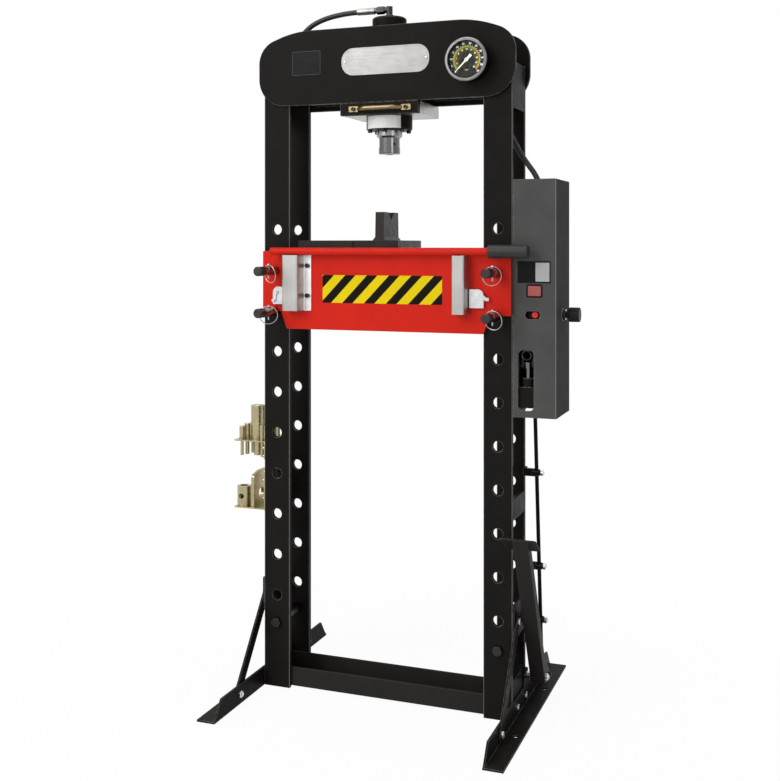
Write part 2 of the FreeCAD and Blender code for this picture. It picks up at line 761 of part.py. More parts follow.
def carriage_screw_places():
    """Screws of the carriage as (seat, direction, length, shank, head, head height)."""
    places = []
    for side in (-1, 1):
        x = HANDLE_X + side * HANDLE_SPAN / 2
        places.append((V(x, KEEPER_FACE - 5, HANDLE_Z), V(0, 1, 0), KEEPER_T + 16, SCREW_D, 10, 5))
        for face in (-1, 1):
            x = CARRIAGE_X + side * (NECK_L / 2 - 11)
            seat = V(x, face * 40, HANGER_Z + HANGER_T)
            places.append((seat, V(0, 0, -1), HANGER_T + 14, 8, 13, 8))
    for k in range(NOSE_BOLTS):
        turn = 2 * math.pi * (k + 0.5) / NOSE_BOLTS
        out = V(math.cos(turn), math.sin(turn), 0) * (NOSE_D / 2 - 9)
        seat = V(CARRIAGE_X, 0, NOSE_BOTTOM) + out
        places.append((seat, V(0, 0, 1), NOSE_H + 12, NOSE_BOLT_D, 12, NOSE_BOLT_HEAD))
    return places


def carriage_screws():
    """Screws of the handle, the hanger plate and the nose."""
    return group([cap_screw(*place) for place in carriage_screw_places()])


def cut_screw_holes(shape):
    """Drills a piece of the carriage for the screws that pass through it."""
    play = SCREW_HOLE_PLAY
    for seat, axis, length, shank, _, _ in carriage_screw_places():
        shape = shape.cut(rod(seat, seat + axis * (length + play), shank + play))
    return shape


def cylinder_tube():
    """Cylinder: a thick tube closed at the top, bored for the piston."""
    bottom = NOSE_BOTTOM + GLAND_T
    blank = Part.makeCylinder(CYLINDER_D / 2, CYLINDER_TOP - bottom, V(CARRIAGE_X, 0, bottom))
    top_edge = [edge for edge in blank.Edges if abs(edge.BoundBox.ZMin - CYLINDER_TOP) < 1e-3]
    blank = blank.makeChamfer(CYLINDER_EDGE, top_edge[:1])
    bore = rod(
        (CARRIAGE_X, 0, bottom - 1), (CARRIAGE_X, 0, CYLINDER_TOP - CYLINDER_CAP_T), CYLINDER_BORE
    )
    port = rod((CARRIAGE_X, 0, bottom), (CARRIAGE_X, 0, CYLINDER_TOP + 1), 6)
    return blank.cut(bore).cut(port)


def nose_flange():
    """Nose: a flange that holds the cylinder under the plate, with the ram gland and collar."""
    nose = Part.makeCylinder(NOSE_D / 2, NOSE_H, V(CARRIAGE_X, 0, NOSE_BOTTOM))
    edges = [edge for edge in nose.Edges if abs(edge.BoundBox.ZMax - NOSE_BOTTOM) < 1e-3]
    nose = nose.makeChamfer(NOSE_EDGE, edges[:1])
    collar = Part.makeCylinder(COLLAR_D / 2, COLLAR_H, V(CARRIAGE_X, 0, COLLAR_BOTTOM))
    edges = [edge for edge in collar.Edges if abs(edge.BoundBox.ZMax - COLLAR_BOTTOM) < 1e-3]
    collar = collar.makeChamfer(COLLAR_BEVEL, edges[:1])
    seat = NOSE_BOTTOM + GLAND_T
    solid = nose.fuse(collar).removeSplitter()
    solid = solid.cut(rod((CARRIAGE_X, 0, seat), (CARRIAGE_X, 0, PLATE_BOTTOM + 1), CYLINDER_D))
    return solid.cut(
        rod((CARRIAGE_X, 0, COLLAR_BOTTOM - 1), (CARRIAGE_X, 0, seat + 1), RAM_D + 2 * RAM_FIT)
    )


def ram():
    """Ram: piston, hollow rod and the slightly wider nose piece."""
    body = rod((CARRIAGE_X, 0, RAM_BOTTOM), (CARRIAGE_X, 0, PISTON_BOTTOM), RAM_D)
    nose = rod(
        (CARRIAGE_X, 0, RAM_BOTTOM), (CARRIAGE_X, 0, RAM_BOTTOM + RAM_NOSE_H), RAM_NOSE_D
    )
    edges = [edge for edge in nose.Edges if abs(edge.BoundBox.ZMax - RAM_BOTTOM) < 1e-3]
    nose = nose.makeChamfer(2, edges[:1])
    piston = rod(
        (CARRIAGE_X, 0, PISTON_BOTTOM),
        (CARRIAGE_X, 0, PISTON_BOTTOM + PISTON_H),
        CYLINDER_BORE - 2 * RAM_FIT,
    )
    solid = body.fuse(nose).fuse(piston).removeSplitter()
    hollow = rod(
        (CARRIAGE_X, 0, RAM_BOTTOM + RAM_FLOOR),
        (CARRIAGE_X, 0, PISTON_BOTTOM + PISTON_H + 1),
        RAM_BORE,
    )
    socket_top = RAM_BOTTOM + SHANK_L + 3
    socket = rod(
        (CARRIAGE_X, 0, RAM_BOTTOM - 1), (CARRIAGE_X, 0, socket_top), MANDRELS[0][4] + 2 * SOCKET_PLAY
    )
    axis_end = V(CARRIAGE_X, 0, RAM_BOTTOM + RAM_SCREW_UP)
    turn = math.radians(RAM_SCREW_TURN)
    screw = rod(axis_end, axis_end + V(math.cos(turn), math.sin(turn), 0) * RAM_D, RAM_SCREW_D)
    return solid.cut([hollow, socket, screw])


def return_spring():
    """Coil spring inside the ram, from the floor of the rod to the top of the cylinder."""
    low = RAM_BOTTOM + RAM_FLOOR + SPRING_WIRE / 2 + 0.2
    high = CYLINDER_TOP - CYLINDER_CAP_T - SPRING_WIRE / 2 - 0.2
    pitch = (high - low) / SPRING_TURNS
    radius = (SPRING_D - SPRING_WIRE) / 2
    helix = Part.makeHelix(pitch, high - low, radius)
    profile = Part.Wire(Part.makeCircle(SPRING_WIRE / 2, V(radius, 0, 0), V(0, 1, 0)))
    coil = Part.Wire(helix.Edges).makePipeShell([profile], True, True)
    coil.translate(V(CARRIAGE_X, 0, low))
    return coil


def elbow_fitting():
    """Swivel elbow on the cylinder, its hexagon nuts and the hose ferrule to the left."""
    base = CYLINDER_TOP
    axis_z = ELBOW_Z
    post = rod((CARRIAGE_X, 0, base), (CARRIAGE_X, 0, axis_z + ELBOW_D / 2), ELBOW_D)
    nut = hex_head(V(CARRIAGE_X, 0, base), V(0, 0, 1), ELBOW_HEX, 9)
    outlet = rod((CARRIAGE_X, 0, axis_z), (CARRIAGE_X - 16, 0, axis_z), ELBOW_D)
    hexagon = hex_head(V(CARRIAGE_X - 14, 0, axis_z), V(-1, 0, 0), 19, 22)
    hose_end = V(*HOSE_ROUTE[0])
    ferrule = rod(
        hose_end - V(FERRULE_SEAT, 0, 0), hose_end + V(FERRULE_L - FERRULE_SEAT, 0, 0), FERRULE_D
    )
    socket = rod(hose_end - V(FERRULE_L, 0, 0), hose_end, HOSE_D + 2 * FERRULE_PLAY)
    return post.fuse([nut, outlet, hexagon, ferrule]).removeSplitter().cut(socket)


# ------------------------------------------------------------------ hose


def cord_solid(points, diameter, name):
    """Round cord along straight runs joined by tangent arcs; prints its bend radii."""
    points = [V(*p) for p in points]
    edges = []
    at = points[0]
    radii = []
    length = 0.0
    for before, corner, after in zip(points, points[1:], points[2:]):
        back = before - corner
        ahead = after - corner
        half = (math.pi - back.getAngle(ahead)) / 2
        run = 0.45 * min(back.Length, ahead.Length)
        radius = run / math.tan(half)
        back.normalize()
        ahead.normalize()
        start, end = corner + back * run, corner + ahead * run
        centre_way = (back + ahead).normalize()
        middle = corner + centre_way * (radius / math.cos(half) - radius)
        edges.append(Part.LineSegment(at, start).toShape())
        edges.append(Part.Arc(start, middle, end).toShape())
        length += (start - at).Length + 2 * half * radius
        at = end
        radii.append(radius)
    edges.append(Part.LineSegment(at, points[-1]).toShape())
    length += (points[-1] - at).Length
    path = Part.Wire(edges)
    tangent = (points[1] - points[0]).normalize()
    profile = Part.Wire(Part.makeCircle(diameter / 2, points[0], tangent))
    solid = path.makePipeShell([profile], True, False)
    expected = length * math.pi * diameter**2 / 4
    print(
        name,
        "length %.1f" % length,
        "radii",
        [round(r, 1) for r in radii],
        "volume ratio %.4f" % (solid.Volume / expected),
    )
    return solid


def hydraulic_hose():
    """Pressure hose from the elbow on the cylinder to the pump."""
    return cord_solid(HOSE_ROUTE, HOSE_D, "hose")


# ------------------------------------------------------------------ gauge


def gauge_case():
    """Round cup of the gauge, open to the front, with a hub for the pointer."""
    back = -(FACE_Y + HEAD_T)
    front = back - GAUGE_H
    case = rod((GAUGE_X, back, GAUGE_Z), (GAUGE_X, front, GAUGE_Z), GAUGE_D)
    hollow = rod(
        (GAUGE_X, front + DIAL_DEPTH + DIAL_T, GAUGE_Z),
        (GAUGE_X, front - 1, GAUGE_Z),
        GAUGE_D - 2 * GAUGE_WALL,
    )
    hub = rod((GAUGE_X, front + DIAL_DEPTH + DIAL_T, GAUGE_Z), (GAUGE_X, front + 4, GAUGE_Z), 3)
    return case.cut(hollow).fuse(hub)


def gauge_ring(outer, inner, y0, y1):
    """Ring about the axis of the gauge."""
    return tube((GAUGE_X, y0, GAUGE_Z), (GAUGE_X, y1, GAUGE_Z), outer, inner)


def gauge_bezel():
    """Bright ring around the front of the case, with a lip over the glass."""
    front = -(FACE_Y + HEAD_T) - GAUGE_H
    wall = gauge_ring(BEZEL_D, GAUGE_D + 0.2, front + BEZEL_H - 3, front)
    lip = gauge_ring(BEZEL_D, GAUGE_D - 2 * BEZEL_LIP, front, front - 3)
    ring = wall.fuse(lip).removeSplitter()
    edges = [
        edge
        for edge in ring.Edges
        if abs(edge.BoundBox.YMin - front + 3) < 1e-3 and edge.BoundBox.XLength > BEZEL_D - 1
    ]
    return ring.makeChamfer(2, edges)


def gauge_glass():
    """Round window in the mouth of the case."""
    front = -(FACE_Y + HEAD_T) - GAUGE_H
    return rod(
        (GAUGE_X, front, GAUGE_Z), (GAUGE_X, front + GLASS_T, GAUGE_Z), GAUGE_D - 2 * GAUGE_WALL - 0.2
    )


def gauge_dial():
    """Dial plate behind the pointer, with a hole for the hub."""
    front = -(FACE_Y + HEAD_T) - GAUGE_H
    return gauge_ring(
        GAUGE_D - 2 * GAUGE_WALL - 0.4, 3.4, front + DIAL_DEPTH, front + DIAL_DEPTH + DIAL_T
    )


def gauge_needle():
    """Pointer with a counterweight tail, turned to its resting direction."""
    front = -(FACE_Y + HEAD_T) - GAUGE_H
    y0 = front + 5.5
    wide = NEEDLE_TAIL_W / 2
    lower = [(-NEEDLE_TAIL, -wide, 1), (-3, -2.2, 0), (4, -1.8, 0), (NEEDLE_L, -0.5, 0)]
    upper = [(u, -v, radius) for u, v, radius in reversed(lower)]
    blade = plate_y(lower + upper, y0, y0 + NEEDLE_T)
    boss = rod((0, y0 - 0.4, 0), (0, y0 + NEEDLE_T + 0.6, 0), 9)
    needle = blade.fuse(boss).removeSplitter()
    needle = needle.cut(rod((0, y0 - 1, 0), (0, y0 + 4, 0), 3.1))
    needle.rotate(V(0, 0, 0), V(0, 1, 0), -NEEDLE_REST_DEG)
    needle.translate(V(GAUGE_X, 0, GAUGE_Z))
    return needle


def gauge_pipe():
    """Threaded stem behind the gauge and the thin pipe down to the valve block."""
    stem_end = PIPE_Y - 5
    stem = rod((GAUGE_X, -(FACE_Y + HEAD_T), GAUGE_Z), (GAUGE_X, stem_end, GAUGE_Z), STEM_D)
    nut = hex_head(V(GAUGE_X, -FACE_Y + 0.3, GAUGE_Z), V(0, 1, 0), 20, 8)
    block = rod((GAUGE_X, stem_end, GAUGE_Z), (GAUGE_X, stem_end + 10, GAUGE_Z), 12)
    drop_x = BAR_MID + PIN_D / 2 + (BAR_W / 2 - SIDE_T - PIN_D / 2) / 2
    end = V(BAR_OUT + MOUNT_T + 4, PIPE_Y, VALVE_Z[0] + PIPE_ENTRY)
    corners = [
        V(GAUGE_X, PIPE_Y, GAUGE_Z),
        V(drop_x, PIPE_Y, GAUGE_Z),
        V(drop_x, PIPE_Y, end.z),
        end,
    ]
    pipe = bent_pipe(corners, PIPE_D, PIPE_BEND)
    return group([stem.fuse(nut).fuse(block).fuse(pipe).removeSplitter()])


def bent_pipe(points, diameter, bend):
    """Pipe with one bend radius at every corner but where the last run is short."""
    edges = []
    at = points[0]
    for before, corner, after in zip(points, points[1:], points[2:]):
        back = (before - corner).normalize()
        ahead = (after - corner).normalize()
        room = min(bend, 0.8 * (after - corner).Length)
        half = (math.pi - back.getAngle(ahead)) / 2
        run = room * math.tan(half)
        middle = corner + (back + ahead).normalize() * (room / math.cos(half) - room)
        edges.append(Part.LineSegment(at, corner + back * run).toShape())
        edges.append(Part.Arc(corner + back * run, middle, corner + ahead * run).toShape())
        at = corner + ahead * run
    edges.append(Part.LineSegment(at, points[-1]).toShape())
    profile = Part.Wire(
        Part.makeCircle(diameter / 2, points[0], (points[1] - points[0]).normalize())
    )
    return Part.Wire(edges).makePipeShell([profile], True, False)


# ------------------------------------------------------------------ bed


def pin_places():
    """Axes of the four bed pins, as (x, z)."""
    return [(side * BAR_MID, z) for side in (-1, 1) for z in PIN_Z]


def bed_plate(face):
    """Deep plate across the bars; its ends step up and rest on the lower pins."""
    half = BAR_OUT - BED_END_IN
    corners = [
        (-half, BED_END_BOTTOM, 0),
        (-BED_STEP_X, BED_END_BOTTOM, 0),
        (-BED_STEP_X + BED_STEP_RUN, BED_BOTTOM, 3),
        (BED_STEP_X - BED_STEP_RUN, BED_BOTTOM, 3),
        (BED_STEP_X, BED_END_BOTTOM, 0),
        (half, BED_END_BOTTOM, 0),
        (half, BED_TOP, 3),
        (-half, BED_TOP, 3),
    ]
    y = sorted((face * BED_Y, face * BED_FRONT))
    plate = plate_y(corners, *y)
    for x, z in pin_places():
        plate = plate.cut(rod((x, y[0] - 1, z), (x, y[1] + 1, z), PIN_D + PIN_HOLE_PLAY))
    if face < 0:
        for x, z in bracket_screw_places():
            hole = rod((x, y[0] - 1, z), (x, y[0] + 6.4, z), SCREW_D + SCREW_HOLE_PLAY)
            plate = plate.cut(hole)
    return plate


def bed_cross_plates():
    """Plates that join the front and rear bed plates between the uprights."""
    plates = []
    for x in BED_CROSS_X:
        plates.append(
            box(
                (x - BED_CROSS_T / 2, x + BED_CROSS_T / 2),
                (-BED_Y, BED_Y),
                (BED_BOTTOM + BED_CROSS_MARGIN, BED_TOP - 2),
            )
        )
    return group(plates)


def bed_pins():
    """Four loose pins through the bars and the bed plates, bevelled at both ends."""
    pins = []
    for x, z in pin_places():
        front, rear = -(BED_FRONT + PIN_FRONT), BED_FRONT + PIN_REAR
        pin = rod((x, front, z), (x, rear, z), PIN_D)
        pin = pin.makeChamfer(PIN_BEVEL, [e for e in pin.Edges if e.BoundBox.YLength < 1e-3])
        pins.append(pin.cut(clip_stem(x, z, CLIP_D + 0.5)))
    return group(pins)


def clip_stem(x, z, diameter):
    """Upright rod through the front end of a bed pin."""
    y = -(BED_FRONT + CLIP_STEP)
    return rod((x, y, z - PIN_D / 2 - 8), (x, y, z + PIN_D / 2 + CLIP_UP), diameter)


def linch_pins():
    """A small pin through each bed pin; a wire ring hangs from its head round the bed pin."""
    clips = []
    for (x, z), turn in zip(pin_places(), CLIP_TURNS):
        y = -(BED_FRONT + CLIP_STEP)
        top = z + PIN_D / 2 + CLIP_UP
        stem = clip_stem(x, z, CLIP_D)
        head = Part.makeSphere(4, V(x, y, top))
        ring = Part.makeTorus(CLIP_RING / 2, CLIP_WIRE / 2, V(0, 0, -CLIP_RING / 2), V(0, 1, 0))
        ring.rotate(V(0, 0, 0), V(1, 0, 0), CLIP_SWING)
        ring.rotate(V(0, 0, 0), V(0, 0, 1), turn)
        ring.translate(V(x, y, top))
        clips.append(stem.fuse(head).fuse(ring).removeSplitter())
    return group(clips)


def press_plates():
    """Two thick loose plates side by side on the bed."""
    plates = []
    bottom = BED_TOP + LOOSE_GAP
    for left, right in zip(PRESS_PLATE_X, PRESS_PLATE_X[1:]):
        plate = box(
            (left + 0.25, right - 0.25),
            PRESS_PLATE_Y,
            (bottom, bottom + PRESS_PLATE_T),
        )
        plates.append(plate.makeChamfer(PRESS_PLATE_BEVEL, plate.Edges))
    return group(plates)


def v_block():
    """Tapered block with a V notch in its top and a flared foot, on the press plates."""
    bottom = BED_TOP + PRESS_PLATE_T + 2 * LOOSE_GAP
    top = bottom + V_BLOCK_H
    half = V_BLOCK_L / 2
    side = plate_x(
        [
            (-half - V_BLOCK_TAPER, bottom + V_FOOT_H, 0),
            (half + V_BLOCK_TAPER, bottom + V_FOOT_H, 0),
            (half, top, 2),
            (V_WIDTH / 2, top, 0),
            (0, top - V_DEPTH, 1),
            (-V_WIDTH / 2, top, 0),
            (-half, top, 2),
        ],
        V_BLOCK_X - V_BLOCK_T / 2,
        V_BLOCK_X + V_BLOCK_T / 2,
    )
    foot_half = half + V_BLOCK_TAPER + 6
    flare = plate_y(
        [
            (V_BLOCK_X - V_FOOT_W / 2, bottom, 0),
            (V_BLOCK_X + V_FOOT_W / 2, bottom, 0),
            (V_BLOCK_X + V_BLOCK_T / 2, bottom + V_FOOT_H, 0),
            (V_BLOCK_X - V_BLOCK_T / 2, bottom + V_FOOT_H, 0),
        ],
        -foot_half,
        foot_half,
    )
    slope = plate_x(
        [
            (-foot_half, bottom, 0),
            (foot_half, bottom, 0),
            (half + V_BLOCK_TAPER, bottom + V_FOOT_H, 0),
            (-half - V_BLOCK_TAPER, bottom + V_FOOT_H, 0),
        ],
        V_BLOCK_X - V_FOOT_W,
        V_BLOCK_X + V_FOOT_W,
    )
    return side.fuse(flare.common(slope)).removeSplitter()


def guard_bracket(x0, face_w, flange_w, inwards):
    """Aluminium section that stands off the bed plate on a screw flange."""
    back, front = -BED_FRONT, -BRACKET_FRONT
    x1 = x0 + face_w
    wall = BRACKET_WALL
    foot = x1 + BRACKET_SLANT
    outside = [(x0, back, 0), (x0, front, BRACKET_ROUND), (x1, front, BRACKET_ROUND)]
    inside = [
        (x1 - wall, front + wall, BRACKET_ROUND - wall),
        (x0 + wall, front + wall, BRACKET_ROUND - wall),
        (x0 + wall, back, 0),
    ]
    if inwards:
        flange = [
            (foot, back, 2),
            (foot - flange_w, back, 0),
            (foot - flange_w, back - wall, 0),
            (foot - wall, back - wall, 0.5),
        ]
    else:
        flange = [
            (foot, back - wall, 2),
            (x1 + flange_w, back - wall, 0),
            (x1 + flange_w, back, 0),
            (foot - wall, back, 2),
        ]
    return plate_z(outside + flange + inside, *BRACKET_Z)


def bracket_screw_places():
    """Screw axes of both brackets, as (x, z)."""
    left = BRACKET_LEFT_X + BRACKET_LEFT_FACE + (BRACKET_LEFT_FLANGE + BRACKET_SLANT) / 2
    right = (
        BRACKET_RIGHT_X
        + BRACKET_RIGHT_FACE
        + BRACKET_SLANT
        - (BRACKET_RIGHT_FLANGE + BRACKET_WALL) / 2
    )
    low, high = BRACKET_SCREW_INSET
    return [(x, z) for x in (left, right) for z in (BRACKET_Z[0] + low, BRACKET_Z[1] - high)]


def guard_brackets():
    """Both brackets, drilled for their screws."""
    brackets = [
        guard_bracket(BRACKET_LEFT_X, BRACKET_LEFT_FACE, BRACKET_LEFT_FLANGE, False),
        guard_bracket(BRACKET_RIGHT_X, BRACKET_RIGHT_FACE, BRACKET_RIGHT_FLANGE, True),
    ]
    front, back = -BED_FRONT - BRACKET_WALL - 1, -BED_FRONT + 1
    holes = group(
        [
            rod((x, front, z), (x, back, z), SCREW_D + SCREW_HOLE_PLAY)
            for x, z in bracket_screw_places()
        ]
    )
    return group([bracket.cut(holes) for bracket in brackets])


def bracket_screws():
    """Socket head screws of both brackets."""
    seat = -(BED_FRONT + BRACKET_WALL)
    return group(
        [
            cap_screw(
                V(x, seat, z), V(0, 1, 0), BRACKET_WALL + 6, SCREW_D, SCREW_HEAD_D, SCREW_HEAD_H
            )
            for x, z in bracket_screw_places()
        ]
    )


def latch_x(side):
    """Middle of the latch beside a bracket: outside the left one, outside the right one."""
    if side < 0:
        return BRACKET_LEFT_X - LATCH_W / 2 - 1
    return BRACKET_RIGHT_X + BRACKET_RIGHT_FACE + BRACKET_SLANT + LATCH_W / 2 + 1


def latch_bases():
    """Zinc latch bodies with one rounded upper corner, a rib and the lever stud."""
    bases = []
    for side in (-1, 1):
        x = latch_x(side)
        half, low, high = LATCH_W / 2, LATCH_Z - LATCH_H / 2, LATCH_Z + LATCH_H / 2
        corners = [
            (x - half, low, 2),
            (x + half, low, 2),
            (x + half, high, 15 if side > 0 else 2),
            (x - half, high, 2 if side > 0 else 15),
        ]
        body = plate_y(corners, -BED_FRONT - LATCH_T, -BED_FRONT)
        stud = rod(
            (x + side * 8, -BED_FRONT - LATCH_T + 1, LATCH_Z + 9),
            (x + side * 8, -BED_FRONT - LATCH_T - LATCH_LEVER_T - 1.5, LATCH_Z + 9),
            5,
        )
        rivets = [
            rod(
                (x + dx, -BED_FRONT - LATCH_T + 1, LATCH_Z + dz),
                (x + dx, -BED_FRONT - LATCH_T - 1.2, LATCH_Z + dz),
                4,
            )
            for dx, dz in ((-side * 10, 14), (-side * 10, -15), (side * 9, -16))
        ]
        solid = body.fuse(stud)
        for rivet in rivets:
            solid = solid.fuse(rivet)
        bases.append(solid.removeSplitter())
    return group(bases)


def latch_lever(side):
    """Hooked lever on the latch stud; it curves away from the bracket."""
    x, z = latch_x(side) + side * 8, LATCH_Z + 9
    w = LATCH_LEVER_W / 2
    y1 = -BED_FRONT - LATCH_T - 0.5
    corners = [
        (-w, -w, 3),
        (w, -w, 2),
        (16, -14, 4),
        (26, -14, 2),
        (26, -6, 2),
        (19, -6, 3),
        (8, w, 4),
        (-w, w, 3),
    ]
    corners = [(x + side * u, z + v, r) for u, v, r in corners]
    if side < 0:
        corners.reverse()
    lever = plate_y(corners, y1 - LATCH_LEVER_T, y1)
    if side < 0:
        lever.rotate(V(x, 0, z), V(0, 1, 0), -LATCH_LEFT_HANG)
    return lever.cut(rod((x, y1 - LATCH_LEVER_T - 1, z), (x, y1 + 1, z), 5.2))


def pump_lever():
    """Long steel tube, parked on the tops of the two brackets."""
    start, end = (V(x, LEVER_Y, LEVER_Z) for x in (LEVER_X[0], LEVER_X[1] - GRIP_END))
    return tube(start, end, LEVER_D, LEVER_D - 2 * LEVER_WALL)


def lever_grip():
    """Rubber grip with a closed, rounded end and a collar at its open end."""
    start = LEVER_X[1] - GRIP_L
    grip = rod((start, LEVER_Y, LEVER_Z), (LEVER_X[1], LEVER_Y, LEVER_Z), GRIP_D)
    ends = [e for e in grip.Edges if e.BoundBox.XLength < 1e-3]
    grip = grip.makeFillet(4, ends)
    floor = LEVER_X[1] - GRIP_END
    return grip.cut(rod((start - 1, LEVER_Y, LEVER_Z), (floor, LEVER_Y, LEVER_Z), LEVER_D))


# ------------------------------------------------------------------ pump


def pump_plate():
    """Mounting plate on the sides of the right bars, with a hole for the gauge pipe."""
    inset = COVER_T + 0.2
    plate = box(
        (BAR_OUT + 0.1, BAR_OUT + MOUNT_T),
        (COVER_Y[0] + inset, COVER_Y[1] - inset),
        (COVER_Z[0] + 4, COVER_Z[1] - inset),
    )
    z = VALVE_Z[0] + PIPE_ENTRY
    return plate.cut(rod((BAR_OUT - 1, PIPE_Y, z), (BAR_OUT + MOUNT_T + 1, PIPE_Y, z), PIPE_D + 4))


def pump_cover():
    """Folded sheet cover, open below and towards the frame, with slot and window."""
    x, y, z = COVER_X, COVER_Y, COVER_Z
    outer = box(x, y, z)
    folds = [
        edge
        for edge in outer.Edges
        if edge.BoundBox.ZMax > z[0] + 1
        and (edge.BoundBox.XMin > x[1] - 1e-3 or edge.BoundBox.ZMin > z[1] - 1e-3)
        and edge.BoundBox.XMax > x[0] + 1
    ]
    outer = outer.makeFillet(COVER_BEND_R, folds)
    inner = box(
        (x[0] - 1, x[1] - COVER_T), (y[0] + COVER_T, y[1] - COVER_T), (z[0] - 1, z[1] - COVER_T)
    )
    front = (y[0] - 1, y[0] + COVER_T + 1)
    slot = plate_y(rounded(SLOT_X, SLOT_Z, SLOT_R), *front)
    half_w, half_h = WINDOW_SIZE[0] / 2, WINDOW_SIZE[1] / 2
    window = plate_y(
        rounded(
            (WINDOW_C[0] - half_w, WINDOW_C[0] + half_w),
            (WINDOW_C[1] - half_h, WINDOW_C[1] + half_h),
            half_h - 0.01,
        ),
        *front,
    )
    entry = V(HOSE_ROUTE[-2][0] - HOSE_ENTRY_IN, HOSE_ROUTE[-2][1], z[1])
    rise = V(0, 0, COVER_T + 1)
    hose_hole = rod(entry - rise, entry + rise, HOSE_D + 12)
    knob_hole = rod((x[1] - 10, KNOB_Y, KNOB_Z), (x[1] + 1, KNOB_Y, KNOB_Z), SPINDLE_D + 6)
    return outer.cut([inner, slot, window, hose_hole, knob_hole])


def pump_body():
    """Casting: valve block above, plunger block below, a spine between, and pivot lugs."""
    left = BAR_OUT + MOUNT_T
    valve = plate_z(rounded((left, BODY_RIGHT), VALVE_Y, 5), *VALVE_Z)
    block = plate_z(rounded((left, BODY_RIGHT), BLOCK_Y, 5), *BLOCK_Z)
    spine = box((left, left + SPINE_T), BLOCK_Y, (BLOCK_Z[1], VALVE_Z[0]))
    lug_x = (PUMP_X + LUG_GAP / 2, PUMP_X + LUG_GAP / 2 + LUG_T)
    lug = plate_x(
        [
            (SOCKET_PIVOT_Y - 16, BLOCK_Z[1] - 1, 0),
            (SOCKET_PIVOT_Y + 16, BLOCK_Z[1] - 1, 0),
            (SOCKET_PIVOT_Y + 11, SOCKET_PIVOT_Z + 12, 10),
            (SOCKET_PIVOT_Y - 11, SOCKET_PIVOT_Z + 12, 10),
        ],
        *lug_x,
    )
    boss_d = SPINDLE_D + 10
    shapes = [
        block,
        spine,
        lug,
        rod(
            (left, SOCKET_PIVOT_Y, SOCKET_PIVOT_Z),
            (PUMP_X - LUG_GAP / 2, SOCKET_PIVOT_Y, SOCKET_PIVOT_Z),
            PIVOT_D + 16,
        ),
        rod(
            (PUMP_X, PLUNGER_Y, BLOCK_Z[1] - 1),
            (PUMP_X, PLUNGER_Y, BLOCK_Z[1] + PLUNGER_BARREL_H),
            PLUNGER_BARREL_D,
        ),
        rod((BODY_RIGHT - 1, KNOB_Y, KNOB_Z), (BODY_RIGHT + 8, KNOB_Y, KNOB_Z), boss_d),
        rod(
            (PRESSURE_PIPE_X, PRESSURE_PIPE_Y, BLOCK_Z[1] - 2),
            (PRESSURE_PIPE_X, PRESSURE_PIPE_Y, VALVE_Z[0] + 2),
            PRESSURE_PIPE_D,
        ),
    ]
    hose_end = V(*HOSE_ROUTE[-1])
    up = V(0, 0, 1)
    low = V(hose_end.x, hose_end.y, VALVE_Z[1] - 2)
    shapes.append(rod(low, hose_end, PRESSURE_PIPE_D))
    shapes.append(hex_head(low + up * 2, up, 17, 12))
    shapes.append(rod(hose_end - up * 25, hose_end + up * FERRULE_SEAT, FERRULE_D))
    solid = valve.fuse(shapes).removeSplitter()
    entry_z = VALVE_Z[0] + PIPE_ENTRY
    cuts = [
        rod(
            (PUMP_X, PLUNGER_Y, BLOCK_Z[0] + 4),
            (PUMP_X, PLUNGER_Y, BLOCK_Z[1] + 60),
            PLUNGER_D + 2 * PLUNGER_FIT,
        ),
        socket_pin(PIVOT_D + 0.2),
        rod(
            (BODY_RIGHT - 28, KNOB_Y, KNOB_Z),
            (BODY_RIGHT + 10, KNOB_Y, KNOB_Z),
            SPINDLE_D + 2 * SPINDLE_FIT,
        ),
        rod(hose_end, hose_end + up * (FERRULE_SEAT + 1), HOSE_D + 2 * FERRULE_PLAY),
        rod((left - 1, PIPE_Y, entry_z), (left + 4.2, PIPE_Y, entry_z), PIPE_D + 0.4),
        rod(
            (WINDOW_C[0] + 5, VALVE_Y[0] - 1, WINDOW_C[1]),
            (WINDOW_C[0] + 5, VALVE_Y[0] + 6, WINDOW_C[1]),
            PLUG_D - 5,
        ),
    ]
    return solid.cut(cuts)


def socket_pin(diameter):
    """Axis of the lever socket, through the spine boss and the lug."""
    return rod(
        (PUMP_X - LUG_GAP / 2 - 6, SOCKET_PIVOT_Y, SOCKET_PIVOT_Z),
        (PUMP_X + LUG_GAP / 2 + LUG_T + 4, SOCKET_PIVOT_Y, SOCKET_PIVOT_Z),
        diameter,
    )


def oil_tank():
    """Oil tank with rounded corners, seated on the rear of the valve block."""
    left = BAR_OUT + MOUNT_T
    tank = plate_z(rounded((left, BODY_RIGHT), TANK_Y, TANK_R), VALVE_Z[1] + 0.1, TANK_TOP)
    top = [e for e in tank.Edges if e.BoundBox.ZMin > TANK_TOP - 1e-3]
    return tank.makeFillet(TANK_EDGE_R, top)


def filler_plug():
    """Red plug in the front of the valve block, seen through the window."""
    x, y, z = WINDOW_C[0] + 5, VALVE_Y[0], WINDOW_C[1]
    plug = rod((x, y, z), (x, y - PLUG_H, z), PLUG_D)
    plug = plug.makeChamfer(1.5, [e for e in plug.Edges if e.BoundBox.YMax < y - PLUG_H + 1e-3])
    return plug.fuse(rod((x, y - 0.1, z), (x, y + 5.6, z), PLUG_D - 5.4))


